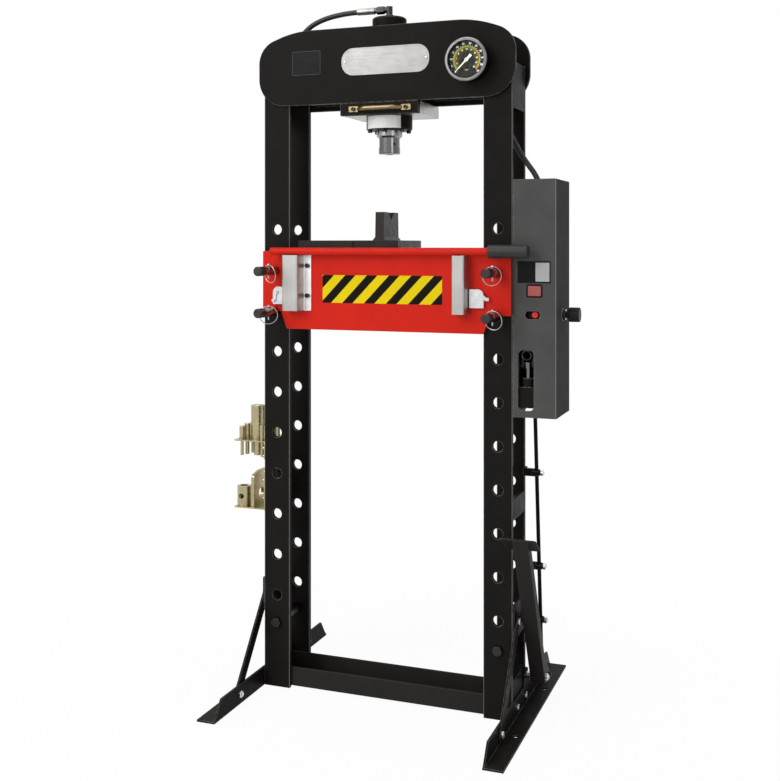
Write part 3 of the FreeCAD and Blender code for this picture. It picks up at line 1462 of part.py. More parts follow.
def pivot_pins():
    """Pivot of the lever socket and the long pivot stud of the pedal."""
    base = V(BAR_OUT + 0.3, PEDAL_PIVOT_Y, PEDAL_PIVOT_Z)
    inner = V(PUMP_X - PEDAL_W / 2 - PIVOT_SIDE, base.y, base.z)
    outer = V(PUMP_X + PEDAL_W / 2 + PIVOT_SIDE, base.y, base.z)
    collar = rod(V(BAR_OUT + ANGLE_T, base.y, base.z), inner, PIVOT_D + 8)
    nut = hex_head(outer, V(1, 0, 0), M10_AF, 6)
    stud = rod(base, outer + V(9, 0, 0), PIVOT_D)
    return group([socket_pin(PIVOT_D), stud.fuse([collar, nut]).removeSplitter()])


def release_knob():
    """Release valve: spindle and a fluted knob outside the cover."""
    start = BODY_RIGHT - 27.5
    knob_x = COVER_X[1] + SPINDLE_OUT
    spindle = rod((start, KNOB_Y, KNOB_Z), (knob_x + 1, KNOB_Y, KNOB_Z), SPINDLE_D)
    neck = rod((knob_x - 7, KNOB_Y, KNOB_Z), (knob_x + 1, KNOB_Y, KNOB_Z), SPINDLE_D + 7)
    knob = rod((knob_x, KNOB_Y, KNOB_Z), (knob_x + KNOB_H, KNOB_Y, KNOB_Z), KNOB_D)
    knob = knob.makeFillet(2.5, [e for e in knob.Edges if e.BoundBox.XLength < 1e-3])
    for k in range(KNOB_FLUTES):
        turn = 2 * math.pi * k / KNOB_FLUTES
        y = KNOB_Y + (KNOB_D / 2 + FLUTE_D * 0.28) * math.cos(turn)
        z = KNOB_Z + (KNOB_D / 2 + FLUTE_D * 0.28) * math.sin(turn)
        knob = knob.cut(rod((knob_x - 1, y, z), (knob_x + KNOB_H - 5, y, z), FLUTE_D))
    return spindle.fuse(neck).fuse(knob).removeSplitter()


def lever_socket():
    """Two cheeks on a pivot tube, the socket tube in front and the rod pin behind."""
    y0, z0 = SOCKET_PIVOT_Y, SOCKET_PIVOT_Z
    tube_z = z0 + SOCKET_TUBE_UP
    tube_y = (y0 - SOCKET_TUBE_FRONT, y0 - SOCKET_TUBE_FRONT + SOCKET_TUBE_L)
    inner = SOCKET_GAP / 2
    half = inner + CHEEK_T
    corners = [
        (tube_y[0] + 12, tube_z - 6, 5),
        (PLUNGER_Y - 8, PLUNGER_PIN_Z - 7, 7),
        (y0 - 5, z0 - 11, 8),
        (ROD_HEAD.y + 3, ROD_HEAD.z - 9, 7),
        (ROD_HEAD.y + 9, ROD_HEAD.z + 8, 6),
        (tube_y[1] - 2, tube_z + 6, 8),
        (tube_y[0] + 12, tube_z + 6, 5),
    ]
    cheeks = [
        plate_x(corners, PUMP_X - half, PUMP_X - inner),
        plate_x(corners, PUMP_X + inner, PUMP_X + half),
    ]

    def across(y, z, diameter, over):
        return rod((PUMP_X - half - over, y, z), (PUMP_X + half + over, y, z), diameter)

    sleeve = rod((PUMP_X, tube_y[0], tube_z), (PUMP_X, tube_y[1], tube_z), SOCKET_TUBE_D)
    hollow = rod((PUMP_X, tube_y[0] - 1, tube_z), (PUMP_X, tube_y[1] - 4, tube_z), SOCKET_TUBE_BORE)
    solid = cheeks[0].fuse(
        [
            cheeks[1],
            sleeve,
            across(y0, z0, PIVOT_D + 7, 0),
            across(ROD_HEAD.y, ROD_HEAD.z, LINK_PIN_D, 1.5),
            across(PLUNGER_Y, PLUNGER_PIN_Z, LINK_PIN_D, 1.5),
        ]
    )
    bore = across(y0, z0, PIVOT_D + 2 * PIVOT_PLAY, 1)
    return solid.removeSplitter().cut([hollow, bore])


def eye_slot(y, z, front, rear):
    """Cutter for the slot of an eye round a link pin, longer to the front or rear."""
    play = LINK_PIN_D / 2 + LINK_PLAY
    return plate_x(
        rounded((y - play - front, y + play + rear), (z - play, z + play), play - 0.1),
        PUMP_X - ROD_EYE_T,
        PUMP_X + ROD_EYE_T,
    )


def pump_piston():
    """Plunger with a slotted eye around the plunger pin of the lever socket."""
    low = BLOCK_Z[0] + PLUNGER_FLOOR
    shank = rod((PUMP_X, PLUNGER_Y, low), (PUMP_X, PLUNGER_Y, PLUNGER_PIN_Z - 4), PLUNGER_D)
    y = (PLUNGER_Y - PLUNGER_EYE_D / 2, PLUNGER_Y + PLUNGER_EYE_D / 2)
    z = (PLUNGER_PIN_Z - 14, PLUNGER_PIN_Z + 8.5)
    eye = plate_x(rounded(y, z, 7.5), PUMP_X - ROD_EYE_T / 2, PUMP_X + ROD_EYE_T / 2)
    solid = shank.fuse(eye).removeSplitter()
    return solid.cut(eye_slot(PLUNGER_Y, PLUNGER_PIN_Z, LINK_SLOT / 2, 0))


# ------------------------------------------------------------------ pedal linkage


def foot_rod():
    """Long push rod with a slotted eye at each end."""
    solid = rod(ROD_FOOT, ROD_HEAD, ROD_D)
    eyes = []
    for end in (ROD_FOOT, ROD_HEAD):
        half = V(ROD_EYE_T / 2, 0, 0)
        eyes.append(rod(end - half, end + half, ROD_EYE_D))
    solid = solid.fuse(eyes).removeSplitter()
    return solid.cut([eye_slot(end.y, end.z, 0, LINK_SLOT) for end in (ROD_FOOT, ROD_HEAD)])


def rod_at(z):
    """Centre of the push rod at a height."""
    return ROD_FOOT + ROD_DIR * ((z - ROD_FOOT.z) / ROD_DIR.z)


def rod_guides():
    """Stub arms on the rear bar and its brace; each carries a ring around the push rod."""
    guides = []
    for z, seat in GUIDES:
        centre = rod_at(z)
        half = ROD_DIR * (GUIDE_RING_H / 2)
        ring = rod(centre - half, centre + half, ROD_D + 12)
        seat_y = sorted((centre.y, BAR_BACK_Y + BAR_T / 2))
        height = (z - GUIDE_W / 2, z + GUIDE_W / 2)
        foot_plate = box((seat, seat + GUIDE_T), (seat_y[0] - 3, seat_y[1] + 3), height)
        arm = box((seat, PUMP_X), (centre.y - GUIDE_T / 2, centre.y + GUIDE_T / 2), height)
        bolt_head = rod(V(PUMP_X + 8, centre.y, z), V(PUMP_X + 17, centre.y, z), 11)
        solid = ring.fuse([foot_plate, arm, bolt_head]).removeSplitter()
        reach = ROD_DIR * GUIDE_W
        guides.append(solid.cut(rod(centre - reach, centre + reach, ROD_D + 2 * GUIDE_PLAY)))
    return group(guides)


def pedal():
    """Pressed channel with a tread plate at the top and ears for the rod pin."""
    base = V(0, PEDAL_PIVOT_Y, PEDAL_PIVOT_Z)
    top = V(0, PEDAL_TOP_Y, PEDAL_TOP_Z)
    along = (top - base).normalize()
    across = V(0, along.z, -along.y)  # towards the rear
    half = PEDAL_W / 2
    ear = V(0, ROD_FOOT.y, ROD_FOOT.z)

    def corner(point, radius):
        return (point.y, point.z, radius)

    depth = across * PEDAL_DEPTH
    flange_outline = [
        corner(base - along * 13 - depth * 0.4, 8),
        corner(ear + V(0, 2, -11), 8),
        corner(ear + V(0, 11, 4), 8),
        corner(base + along * 70 + depth * 0.6, 20),
        corner(top + depth * 0.6, 2),
        corner(top - depth * 0.4, 0),
    ]
    flanges = [
        plate_x(flange_outline, PUMP_X + a, PUMP_X + b)
        for a, b in ((-half, PEDAL_T - half), (half - PEDAL_T, half))
    ]
    web_outline = [
        corner(base - along * 12 - depth * 0.4, 0),
        corner(base - along * 12 - depth * 0.4 + across * PEDAL_T, 0),
        corner(top - depth * 0.4 + across * PEDAL_T, 0),
        corner(top - depth * 0.4, 0),
    ]
    web = plate_x(web_outline, PUMP_X - half, PUMP_X + half)
    slope = math.radians(PAD_SLOPE)
    back = V(0, math.cos(slope), -math.sin(slope))
    lift = V(0, math.sin(slope), math.cos(slope))
    front_edge = top - depth * 0.4
    middle = front_edge + back * (PAD_D / 2)
    tread = outline(
        rounded(PAD_X, (-PAD_D / 2, PAD_D / 2), PAD_R),
        lambda p: middle + back * p.y + V(p.x, 0, 0),
    )
    above = outline(
        rounded((PUMP_X - PEDAL_W, PUMP_X + PEDAL_W), (-PAD_D, PAD_D), 1),
        lambda p: middle + back * p.y + V(p.x, 0, 0),
    ).extrude(lift * PEDAL_W)
    channel = flanges[0].fuse(flanges[1]).fuse(web).cut(above)
    solid = channel.fuse(tread.extrude(lift * PAD_T))
    pin = rod(ear + V(PUMP_X - half - 5, 0, 0), ear + V(PUMP_X + half + 5, 0, 0), LINK_PIN_D)
    heads = rod(ear + V(PUMP_X + half, 0, 0), ear + V(PUMP_X + half + 5, 0, 0), 15)
    sleeve = rod(base + V(PUMP_X - half, 0, 0), base + V(PUMP_X + half, 0, 0), PIVOT_D + 7)
    solid = solid.fuse(pin).fuse(heads).fuse(sleeve).removeSplitter()
    bore = rod(base + V(PUMP_X - half - 1, 0, 0), base + V(PUMP_X + half + 1, 0, 0), PIVOT_D + 2 * PIVOT_PLAY)
    return solid.cut(bore)


# ------------------------------------------------------------------ tool racks


def rack(shelf_z, leg, up):
    """Bent shelf on the side of the left bars; the leg runs up or down the bars."""
    x0 = -BAR_OUT - 0.1
    shelf = plate_z(
        [
            (x0, -RACK_W / 2, 0),
            (x0, RACK_W / 2, 0),
            (x0 - RACK_REACH, RACK_W / 2, RACK_EDGE_R),
            (x0 - RACK_REACH, -RACK_W / 2, RACK_EDGE_R),
        ],
        shelf_z,
        shelf_z + RACK_T,
    )
    z = (shelf_z, shelf_z + leg) if up else (shelf_z + RACK_T - leg, shelf_z + RACK_T)
    wall_y = FACE_Y - 2
    wall = plate_x(rounded((-wall_y, wall_y), z, 4), x0 - RACK_T, x0)
    return shelf.fuse(wall).removeSplitter()


def rack_screws(shelf_z, leg, up):
    """Round-headed screws that hold a rack to the edges of the bars."""
    sign = 1 if up else -1
    x0 = -BAR_OUT - 0.1 - RACK_T
    heads = []
    for face in (-1, 1):
        for share in (0.3, 0.75):
            z = shelf_z + sign * leg * share
            y = face * (FACE_Y - BAR_T / 2)
            heads.append(rod((x0, y, z), (x0 - 3, y, z), 9))
    return heads


def tool_racks():
    """Upper rack with shank holes, lower rack plain; their screws are part of them."""
    upper = rack(RACK_UPPER_Z, RACK_UPPER_LEG, False)
    for head in rack_screws(RACK_UPPER_Z, RACK_UPPER_LEG, False):
        upper = upper.fuse(head)
    for out, y, _, _, shank_d in MANDRELS:
        x = -BAR_OUT - out
        upper = upper.cut(
            rod((x, y, RACK_UPPER_Z - 1), (x, y, RACK_UPPER_Z + RACK_T + 1), shank_d + 2 * SHANK_PLAY)
        )
    lower = rack(RACK_LOWER_Z, RACK_LOWER_LEG, True)
    for head in rack_screws(RACK_LOWER_Z, RACK_LOWER_LEG, True):
        lower = lower.fuse(head)
    return group([upper, lower])


def mandrels():
    """Stepped press mandrels; each head rests on the upper rack."""
    pieces = []
    for out, y, head_d, head_h, shank_d in MANDRELS:
        x = -BAR_OUT - out
        seat = RACK_UPPER_Z + RACK_T + 0.1
        head = rod((x, y, seat), (x, y, seat + head_h), head_d)
        top = [e for e in head.Edges if e.BoundBox.ZMin > seat + head_h - 1e-3]
        head = head.makeChamfer(1.2, top[:1])
        pieces.append(head.fuse(rod((x, y, seat - SHANK_L), (x, y, seat + 1), shank_d)).removeSplitter())
    return group(pieces)


def rack_adapters():
    """On the lower rack: an upright plate with a bore and a ring with a cross hole."""
    seat = RACK_LOWER_Z + RACK_T + 0.1
    x0 = -BAR_OUT - ADAPTER_OUT - ADAPTER_T
    half = ADAPTER_L / 2
    plate = plate_x(
        [
            (-half, seat, 2),
            (half, seat, 2),
            (half, seat + ADAPTER_H, 4),
            (-half * 0.2, seat + ADAPTER_H, 4),
            (-half, seat + ADAPTER_H * 0.9, 8),
        ],
        x0,
        x0 + ADAPTER_T,
    )
    bore_z = seat + ADAPTER_H * 0.34
    plate = plate.cut(rod((x0 - 1, 0, bore_z), (x0 + ADAPTER_T + 1, 0, bore_z), ADAPTER_BORE))
    x1 = x0 - 8 - COLLAR_RING_D / 2
    low, high = V(x1, COLLAR_RING_Y, seat), V(x1, COLLAR_RING_Y, seat + COLLAR_RING_H)
    ring = tube(low, high, COLLAR_RING_D, COLLAR_RING_BORE)
    middle = (low + high) / 2
    side = V(0, COLLAR_RING_D, 0)
    cross = rod(middle - side, middle + side, COLLAR_CROSS_D)
    return group([plate, ring.cut(cross)])


# ------------------------------------------------------------------ write the parts


def build():
    """Makes every sub-part and writes each to a file of its own."""
    nodes = {
        "upright_front_left": upright(-1, -1),
        "upright_front_right": upright(1, -1),
        "upright_rear_left": upright(-1, 1),
        "upright_rear_right": upright(1, 1),
        "head_plate_front": head_plate(-1),
        "head_plate_rear": head_plate(1),
        "head_rails": head_rails(),
        "side_plates": side_plates(),
        "base_beams": base_beams(),
        "foot_left": mirror_x(foot()),
        "foot_right": foot_right(),
        "braces": braces(),
        "tie_bolts": tie_bolts(),
        "frame_bolts": frame_bolts(),
        "carriage_plate": cut_screw_holes(carriage_plate()),
        "carriage_keeper": cut_screw_holes(carriage_keeper()),
        "carriage_handle": cut_screw_holes(carriage_handle()),
        "carriage_screws": carriage_screws(),
        "hanger_plate": cut_screw_holes(hanger_plate()),
        "cylinder_tube": cylinder_tube(),
        "nose_flange": cut_screw_holes(nose_flange()),
        "elbow_fitting": elbow_fitting(),
        "ram": ram(),
        "return_spring": return_spring(),
        "hydraulic_hose": hydraulic_hose(),
        "gauge_case": gauge_case(),
        "gauge_bezel": gauge_bezel(),
        "gauge_glass": gauge_glass(),
        "gauge_dial": gauge_dial(),
        "gauge_needle": gauge_needle(),
        "gauge_pipe": gauge_pipe(),
        "bed_plate_front": bed_plate(-1),
        "bed_plate_rear": bed_plate(1),
        "bed_cross_plates": bed_cross_plates(),
        "bed_pins": bed_pins(),
        "linch_pins": linch_pins(),
        "press_plates": press_plates(),
        "v_block": v_block(),
        "guard_brackets": guard_brackets(),
        "bracket_screws": bracket_screws(),
        "latch_bases": latch_bases(),
        "latch_lever_left": latch_lever(-1),
        "latch_lever_right": latch_lever(1),
        "pump_lever": pump_lever(),
        "lever_grip": lever_grip(),
        "pump_plate": pump_plate(),
        "pump_cover": pump_cover(),
        "pump_body": pump_body(),
        "oil_tank": oil_tank(),
        "filler_plug": filler_plug(),
        "pivot_pins": pivot_pins(),
        "release_knob": release_knob(),
        "lever_socket": lever_socket(),
        "pump_piston": pump_piston(),
        "foot_rod": foot_rod(),
        "rod_guides": rod_guides(),
        "pedal": pedal(),
        "tool_racks": tool_racks(),
        "mandrels": mandrels(),
        "rack_adapters": rack_adapters(),
    }
    for name, shape in nodes.items():
        shape.exportStep("parts/%s.step" % name)
    print(len(nodes), "nodes written")


build()
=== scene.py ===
"""Finishes, plates and small fittings of a workshop press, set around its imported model."""

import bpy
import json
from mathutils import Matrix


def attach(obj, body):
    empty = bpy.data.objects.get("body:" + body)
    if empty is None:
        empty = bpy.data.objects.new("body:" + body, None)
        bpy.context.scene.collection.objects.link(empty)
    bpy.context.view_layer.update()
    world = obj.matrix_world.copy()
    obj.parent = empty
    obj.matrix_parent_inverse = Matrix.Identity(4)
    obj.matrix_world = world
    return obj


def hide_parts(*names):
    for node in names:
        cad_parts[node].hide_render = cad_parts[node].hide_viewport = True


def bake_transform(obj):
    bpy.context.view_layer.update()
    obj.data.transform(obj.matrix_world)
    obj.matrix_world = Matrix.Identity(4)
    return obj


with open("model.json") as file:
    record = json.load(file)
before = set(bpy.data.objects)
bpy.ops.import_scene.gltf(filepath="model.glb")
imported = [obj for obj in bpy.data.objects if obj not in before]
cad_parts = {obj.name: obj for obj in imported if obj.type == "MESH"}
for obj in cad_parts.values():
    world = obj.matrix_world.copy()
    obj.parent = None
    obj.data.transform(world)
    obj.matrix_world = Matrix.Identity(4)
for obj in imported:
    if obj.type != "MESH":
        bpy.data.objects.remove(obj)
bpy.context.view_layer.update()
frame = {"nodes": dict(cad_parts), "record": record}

import json
import logging
import math
from dataclasses import dataclass, replace
from enum import Enum
from typing import Callable, Iterable, Sequence

import bmesh
import bpy
from mathutils import Vector

LOG = logging.getLogger("press")
MM = 0.001
TINY = 1e-6  # shorter than any edge of a piece, in metres
FACING = 0.9  # least share of its normal along the way that a face looks
NOISE = (0.3, 0.7)  # where nearly all of a noise lies
WHITE = (1.0, 1.0, 1.0, 1.0)
Triple = tuple[float, float, float]
Span = tuple[float, float]
Socket = bpy.types.NodeSocket
Material = bpy.types.Material


def metres(values: Iterable[float]) -> Vector:
    """Turns a point or a size in millimetres into metres."""
    return Vector([value * MM for value in values])


def tone(colour: Triple, share: float) -> Triple:
    """A colour made lighter or darker by a share."""
    return tuple(min(1.0, part * share) for part in colour)


def to_front(face: object) -> bool:
    """Whether a face looks to the front."""
    return face.normal.y < -FACING


def runs_along(edge: object, axis: int) -> bool:
    """Whether an edge has any length along an axis."""
    return abs(edge.verts[0].co[axis] - edge.verts[1].co[axis]) > TINY


def past_x(place: float) -> Callable[[object], bool]:
    """A test for edges that lie past a place along X, in millimetres."""
    return lambda edge: all(vertex.co.x > place * MM for vertex in edge.verts)


class Pick(Enum):
    """What a selection in edit mode takes hold of."""

    EDGES = ("EDGE", "edges")
    FACES = ("FACE", "faces")


class Axis(Enum):
    """Direction of a round piece, with the turn that lays a Z cylinder along it."""

    X = (0.0, math.pi / 2, 0.0)
    Y = (math.pi / 2, 0.0, 0.0)
    Z = (0.0, 0.0, 0.0)


# ---- modelling


class Piece:
    """One mesh under work: a primitive that edit operators and modifiers shape."""

    def __init__(self, name: str) -> None:
        """Takes over the primitive that was just added.

        Args:
            name: what the finished piece is called.
        """
        self.object = bpy.context.active_object
        self.object.name = name
        self.object.data.name = name
        bpy.ops.object.transform_apply(location=True, rotation=True, scale=True)

    @staticmethod
    def leave_edit() -> None:
        """Goes back to object mode."""
        if bpy.context.mode != "OBJECT":
            bpy.ops.object.mode_set(mode="OBJECT")

    @classmethod
    def deselect(cls) -> None:
        """Leaves nothing selected, so that the next operator acts on one new mesh."""
        cls.leave_edit()
        bpy.ops.object.select_all(action="DESELECT")

    @classmethod
    def block(cls, name: str, low: Iterable[float], high: Iterable[float]) -> "Piece":
        """Starts from a block.

        Args:
            name: what the finished piece is called.
            low: lowest corner in millimetres.
            high: highest corner in millimetres.

        Returns:
            The new piece.
        """
        cls.deselect()
        low, high = metres(low), metres(high)
        bpy.ops.mesh.primitive_cube_add(size=1, location=(low + high) / 2)
        bpy.context.active_object.scale = high - low
        return cls(name)

    @classmethod
    def round(
        cls,
        name: str,
        centre: Iterable[float],
        diameter: float,
        depth: float,
        axis: Axis,
        sides: int = 48,
        fill: str = "NGON",
    ) -> "Piece":
        """Starts from a cylinder or a prism.

        Args:
            name: what the finished piece is called.
            centre: middle of the piece in millimetres.
            diameter: over its corners, in millimetres.
            depth: length along the axis, in millimetres.
            axis: direction of the piece.
            sides: number of sides.
            fill: how the ends are closed.

        Returns:
            The new piece.
        """
        cls.deselect()
        bpy.ops.mesh.primitive_cylinder_add(
            vertices=sides,
            radius=diameter / 2 * MM,
            depth=depth * MM,
            end_fill_type=fill,
            location=metres(centre),
            rotation=axis.value,
        )
        return cls(name)

    def pick(self, kind: Pick, test: Callable[[object], bool]) -> "Piece":
        """Selects the elements that pass a test, and nothing else.

        Args:
            kind: edges or faces.
            test: says whether an element is taken.

        Returns:
            The piece itself, in edit mode.
        """
        bpy.context.view_layer.objects.active = self.object
        if bpy.context.mode != "EDIT_MESH":
            bpy.ops.object.mode_set(mode="EDIT")
        mode, group = kind.value
        bpy.ops.mesh.select_mode(type=mode)
        bpy.ops.mesh.select_all(action="DESELECT")
        mesh = bmesh.from_edit_mesh(self.object.data)
        for element in getattr(mesh, group):
            if test(element):
                element.select_set(True)
        mesh.select_flush_mode()
        bmesh.update_edit_mesh(self.object.data)
        return self

    def pick_all(self) -> "Piece":
        """Selects the whole mesh in edit mode."""
        return self.pick(Pick.FACES, lambda face: True)

    def bevel(self, width: float, segments: int = 2) -> "Piece":
        """Rounds the selected edges by a width in millimetres."""
        bpy.ops.mesh.bevel(offset=width * MM, segments=segments, affect="EDGES")
        return self

    def inset(self, width: float) -> "Piece":
        """Insets the selected faces by a width in millimetres."""
        bpy.ops.mesh.inset(thickness=width * MM, depth=0.0)
        return self

    def push(self, shift: Iterable[float]) -> "Piece":
        """Extrudes the selected faces by a shift in millimetres."""
        bpy.ops.mesh.extrude_region_move(TRANSFORM_OT_translate={"value": tuple(metres(shift))})
        return self

    def stretch(self, x: float, y: float, z: float) -> "Piece":
        """Scales what is selected about its own middle."""
        bpy.ops.transform.resize(value=(x, y, z))
        return self

    def cut(self, point: Iterable[float], normal: Iterable[float], drop: bool = False) -> "Piece":
        """Cuts the whole mesh along a plane.

        Args:
            point: a point of the plane in millimetres.
            normal: direction of the plane.
            drop: whether what lies on the normal's side is taken away.

        Returns:
            The piece itself.
        """
        self.pick_all()
        bpy.ops.mesh.bisect(
            plane_co=metres(point), plane_no=tuple(normal), clear_outer=drop, use_fill=False
        )
        return self

    def modify(self, kind: str, **settings: object) -> "Piece":
        """Adds a modifier and applies it.

        Args:
            kind: type of the modifier.
            **settings: its values.

        Returns:
            The piece itself, in object mode.
        """
        self.leave_edit()
        modifier = self.object.modifiers.new(kind.title(), kind)
        for key, value in settings.items():
            setattr(modifier, key, value)
        bpy.context.view_layer.objects.active = self.object
        bpy.ops.object.modifier_apply(modifier=modifier.name)
        return self

    def hold(self, others: Iterable["Piece"] = ()) -> None:
        """Selects the piece as the active one, together with others where they are given.

        Args:
            others: the other pieces.
        """
        self.deselect()
        for piece in (*others, self):
            piece.object.select_set(True)
        bpy.context.view_layer.objects.active = self.object

    def take_in(self, others: Iterable["Piece"], name: str) -> "Piece":
        """Joins other pieces to this one.

        Args:
            others: the other pieces.
            name: what the whole is called.

        Returns:
            The piece itself.
        """
        self.hold(others)
        bpy.ops.object.join()
        self.object.name = name
        return self

    def paint(self, materials: Sequence[Material], choose: Callable | None = None) -> "Piece":
        """Gives the piece its materials.

        Args:
            materials: one material for each slot.
            choose: gives the slot of a face, or None where there is one material.

        Returns:
            The piece itself, in object mode.
        """
        self.leave_edit()
        self.object.data.materials.clear()
        for material in materials:
            self.object.data.materials.append(material)
        if choose:
            for face in self.object.data.polygons:
                face.material_index = choose(face)
        return self

    def finish(self, body: str, slot: str | None = None, angle: float = 35.0) -> None:
        """Smooths the piece, turns its faces outwards and lets it ride on a body.

        Args:
            body: the body that carries it.
            slot: the record's slot of its finish, if it has one; not used.
            angle: edges sharper than this stay sharp, in degrees.
        """
        self.pick_all()
        bpy.ops.mesh.normals_make_consistent(inside=False)
        self.hold()
        bpy.ops.object.shade_smooth_by_angle(angle=math.radians(angle))
        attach(self.object, body)
        LOG.info("%s: %d faces on %s", self.object.name, len(self.object.data.polygons), body)


# ---- finishes


class Graph:
    """Node tree of a material or of the world, with short calls that add and join nodes."""

    def __init__(self, tree: bpy.types.NodeTree, output: str) -> None:
        """Empties a node tree and gives it an output.

        Args:
            tree: the node tree.
            output: type of its output.
        """
        self.tree = tree
        self.tree.nodes.clear()
        self.output = self.add(output)

    def fill(self, node: bpy.types.Node, inputs: dict[str | int, object]) -> None:
        """Feeds inputs of a node.

        Args:
            node: the node.
            inputs: the socket to link or the plain value, by the input's name or number.
        """
        for key, value in inputs.items():
            if isinstance(value, Socket):
                self.tree.links.new(value, node.inputs[key])
            else:
                node.inputs[key].default_value = value

    def add(
        self, kind: str, inputs: dict[str | int, object] | None = None, **settings: object
    ) -> bpy.types.Node:
        """Adds a node.

        Args:
            kind: type of the node.
            inputs: what its inputs are fed.
            **settings: its properties.

        Returns:
            The new node.
        """
        node = self.tree.nodes.new(kind)
        for key, value in settings.items():
            setattr(node, key, value)
        self.fill(node, inputs or {})
        return node

    def combine(self, kind: str, first: object, second: object, clamp: bool = True) -> Socket:
        """One step of arithmetic on two sockets or numbers, kept between 0 and 1 if clamped."""
        inputs = {0: first, 1: second}
        return self.add("ShaderNodeMath", inputs, operation=kind, use_clamp=clamp).outputs[0]

    def seen(self) -> Socket:
        """Share that is 1 for what the camera sees.

        Returns:
            1 for rays from the camera, directly or by way of metal and glass.
        """
        path = self.add("ShaderNodeLightPath")
        share = path.outputs["Is Camera Ray"]
        for ray in ("Is Glossy Ray", "Is Transmission Ray"):
            share = self.combine("ADD", share, path.outputs[ray])
        return share

    def show_mix(self, share: Socket, first: Socket, second: Socket) -> None:
        """Sends two shaders to the output, mixed by the share of the second one."""
        mix = self.add("ShaderNodeMixShader", {0: share, 1: first, 2: second})
        self.fill(self.output, {"Surface": mix.outputs[0]})


class SurfaceGraph(Graph):
    """Node tree of one material, with textures that keep their place on the object."""

    def __init__(self, name: str) -> None:
        """Starts a material.

        Args:
            name: name of the material.
        """
        self.material = bpy.data.materials.new(name)
        self.material.use_nodes = True
        super().__init__(self.material.node_tree, "ShaderNodeOutputMaterial")
        self.place = self.add("ShaderNodeTexCoord").outputs["Object"]

    def start_shader(self, specular: float) -> None:
        """Adds the shader that the next calls feed, with its specular level, and shows it."""
        self.shader = self.add("ShaderNodeBsdfPrincipled", {"Specular IOR Level": specular})
        self.fill(self.output, {"Surface": self.shader.outputs[0]})

    def noise(self, size: float, detail: float = 3.0, stretch: Triple = (1.0, 1.0, 1.0)) -> Socket:
        """Noise over the object.

        Args:
            size: size of its patches in metres.
            detail: number of finer layers.
            stretch: how much finer it is along each axis.

        Returns:
            The noise from 0 to 1.
        """
        mapping = self.add("ShaderNodeMapping", {"Scale": stretch, "Vector": self.place})
        inputs = {"Scale": 1.0 / size, "Detail": detail, "Vector": mapping.outputs[0]}
        return self.add("ShaderNodeTexNoise", inputs).outputs["Fac"]

    def span(self, value: Socket, source: Span, target: Span = (0.0, 1.0)) -> Socket:
        """Maps a range of a value onto another range, clamped.

        Args:
            value: the value.
            source: start and end of its range.
            target: what the start and the end become.

        Returns:
            The mapped value.
        """
        keys = ("Value", "From Min", "From Max", "To Min", "To Max")
        inputs = dict(zip(keys, (value, *source, *target)))
        return self.add("ShaderNodeMapRange", inputs).outputs["Result"]

    def blend(self, share: Socket, first: object, second: object) -> Socket:
        """Mixes two colours.

        Args:
            share: how much of the second colour shows.
            first: a socket or a plain colour.
            second: another one.

        Returns:
            The mixed colour.
        """
        first, second = (
            (*colour, 1.0) if isinstance(colour, tuple) else colour for colour in (first, second)
        )
        inputs = {"Factor": share, 6: first, 7: second}
        return self.add("ShaderNodeMix", inputs, data_type="RGBA").outputs[2]

    def edges(self, width: float, turn: float, flat: float = 0.1) -> tuple[Socket, Socket]:
        """Finds the outer edges of the piece.

        Args:
            width: how far from an edge it counts, in metres.
            turn: the turn of the surface at which the edge counts in full.
            flat: share of that turn below which it doesn't count.

        Returns:
            The rounded normal, and a mask that is 1 at the edges.
        """
        rounded = self.add("ShaderNodeBevel", {"Radius": width}, samples=4).outputs[0]
        inputs = {0: rounded, 1: self.add("ShaderNodeNewGeometry").outputs["Normal"]}
        bent = self.add("ShaderNodeVectorMath", inputs, operation="DOT_PRODUCT").outputs["Value"]
        return rounded, self.span(bent, (1.0 - turn, 1.0 - turn * flat), (1.0, 0.0))

    def bump(self, height: Socket, strength: float, depth: float, normal: Socket | None) -> None:
        """Feeds the shader's normal from a height.

        Args:
            height: relief from 0 to 1.
            strength: share of the relief that shows.
            depth: depth of the relief in metres.
            normal: the normal under it, or None.
        """
        under = {"Normal": normal} if normal else {}
        inputs = {"Strength": strength, "Distance": depth, "Height": height, **under}
        self.fill(self.shader, {"Normal": self.add("ShaderNodeBump", inputs).outputs[0]})


@dataclass(frozen=True)
class Finish:
    """What all surface finishes share; the sizes are in metres."""

    name: str
    colour: Triple
    roughness: float = 0.5
    spread: float = 0.06  # how far the roughness varies
    mottle: float = 0.08  # how far the colour varies
    patch: float = 0.06  # size of the patches
    fine_patch: float = 0.35  # size of the patches of roughness, as a share of it
    specular: float = 0.5
    edge_width: float = 0.0006  # how far the wear of an edge reaches
    edge_turn: float = 0.3  # turn of the surface at which the wear is full
    relief: float = 0.0003  # depth of the marks or of the skin

    def build(self) -> Material:
        """Makes the material.

        Returns:
            The new material.
        """
        graph = SurfaceGraph(self.name)
        self.lay(graph)
        return graph.material

    def lay(self, graph: SurfaceGraph) -> Socket:
        """Adds a shader with this finish to a material.

        Args:
            graph: the material.

        Returns:
            The shader.
        """
        graph.start_shader(self.specular)
        self.dress(graph)
        return graph.shader.outputs[0]

    def patches(self, graph: SurfaceGraph) -> tuple[Socket, Socket]:
        """Colour and roughness that vary gently over the piece.

        Args:
            graph: the material.

        Returns:
            The colour and the roughness.
        """
        dark, pale = (tone(self.colour, 1.0 + side * self.mottle) for side in (-1.0, 1.0))
        colour = graph.blend(graph.span(graph.noise(self.patch), NOISE), dark, pale)
        fine = graph.noise(self.patch * self.fine_patch, detail=4.0)
        limits = (self.roughness - self.spread, self.roughness + self.spread)
        return colour, graph.span(fine, NOISE, limits)

    def dress(self, graph: SurfaceGraph) -> None:
        """Feeds the shader; each kind of finish does this in its own way."""
        raise NotImplementedError


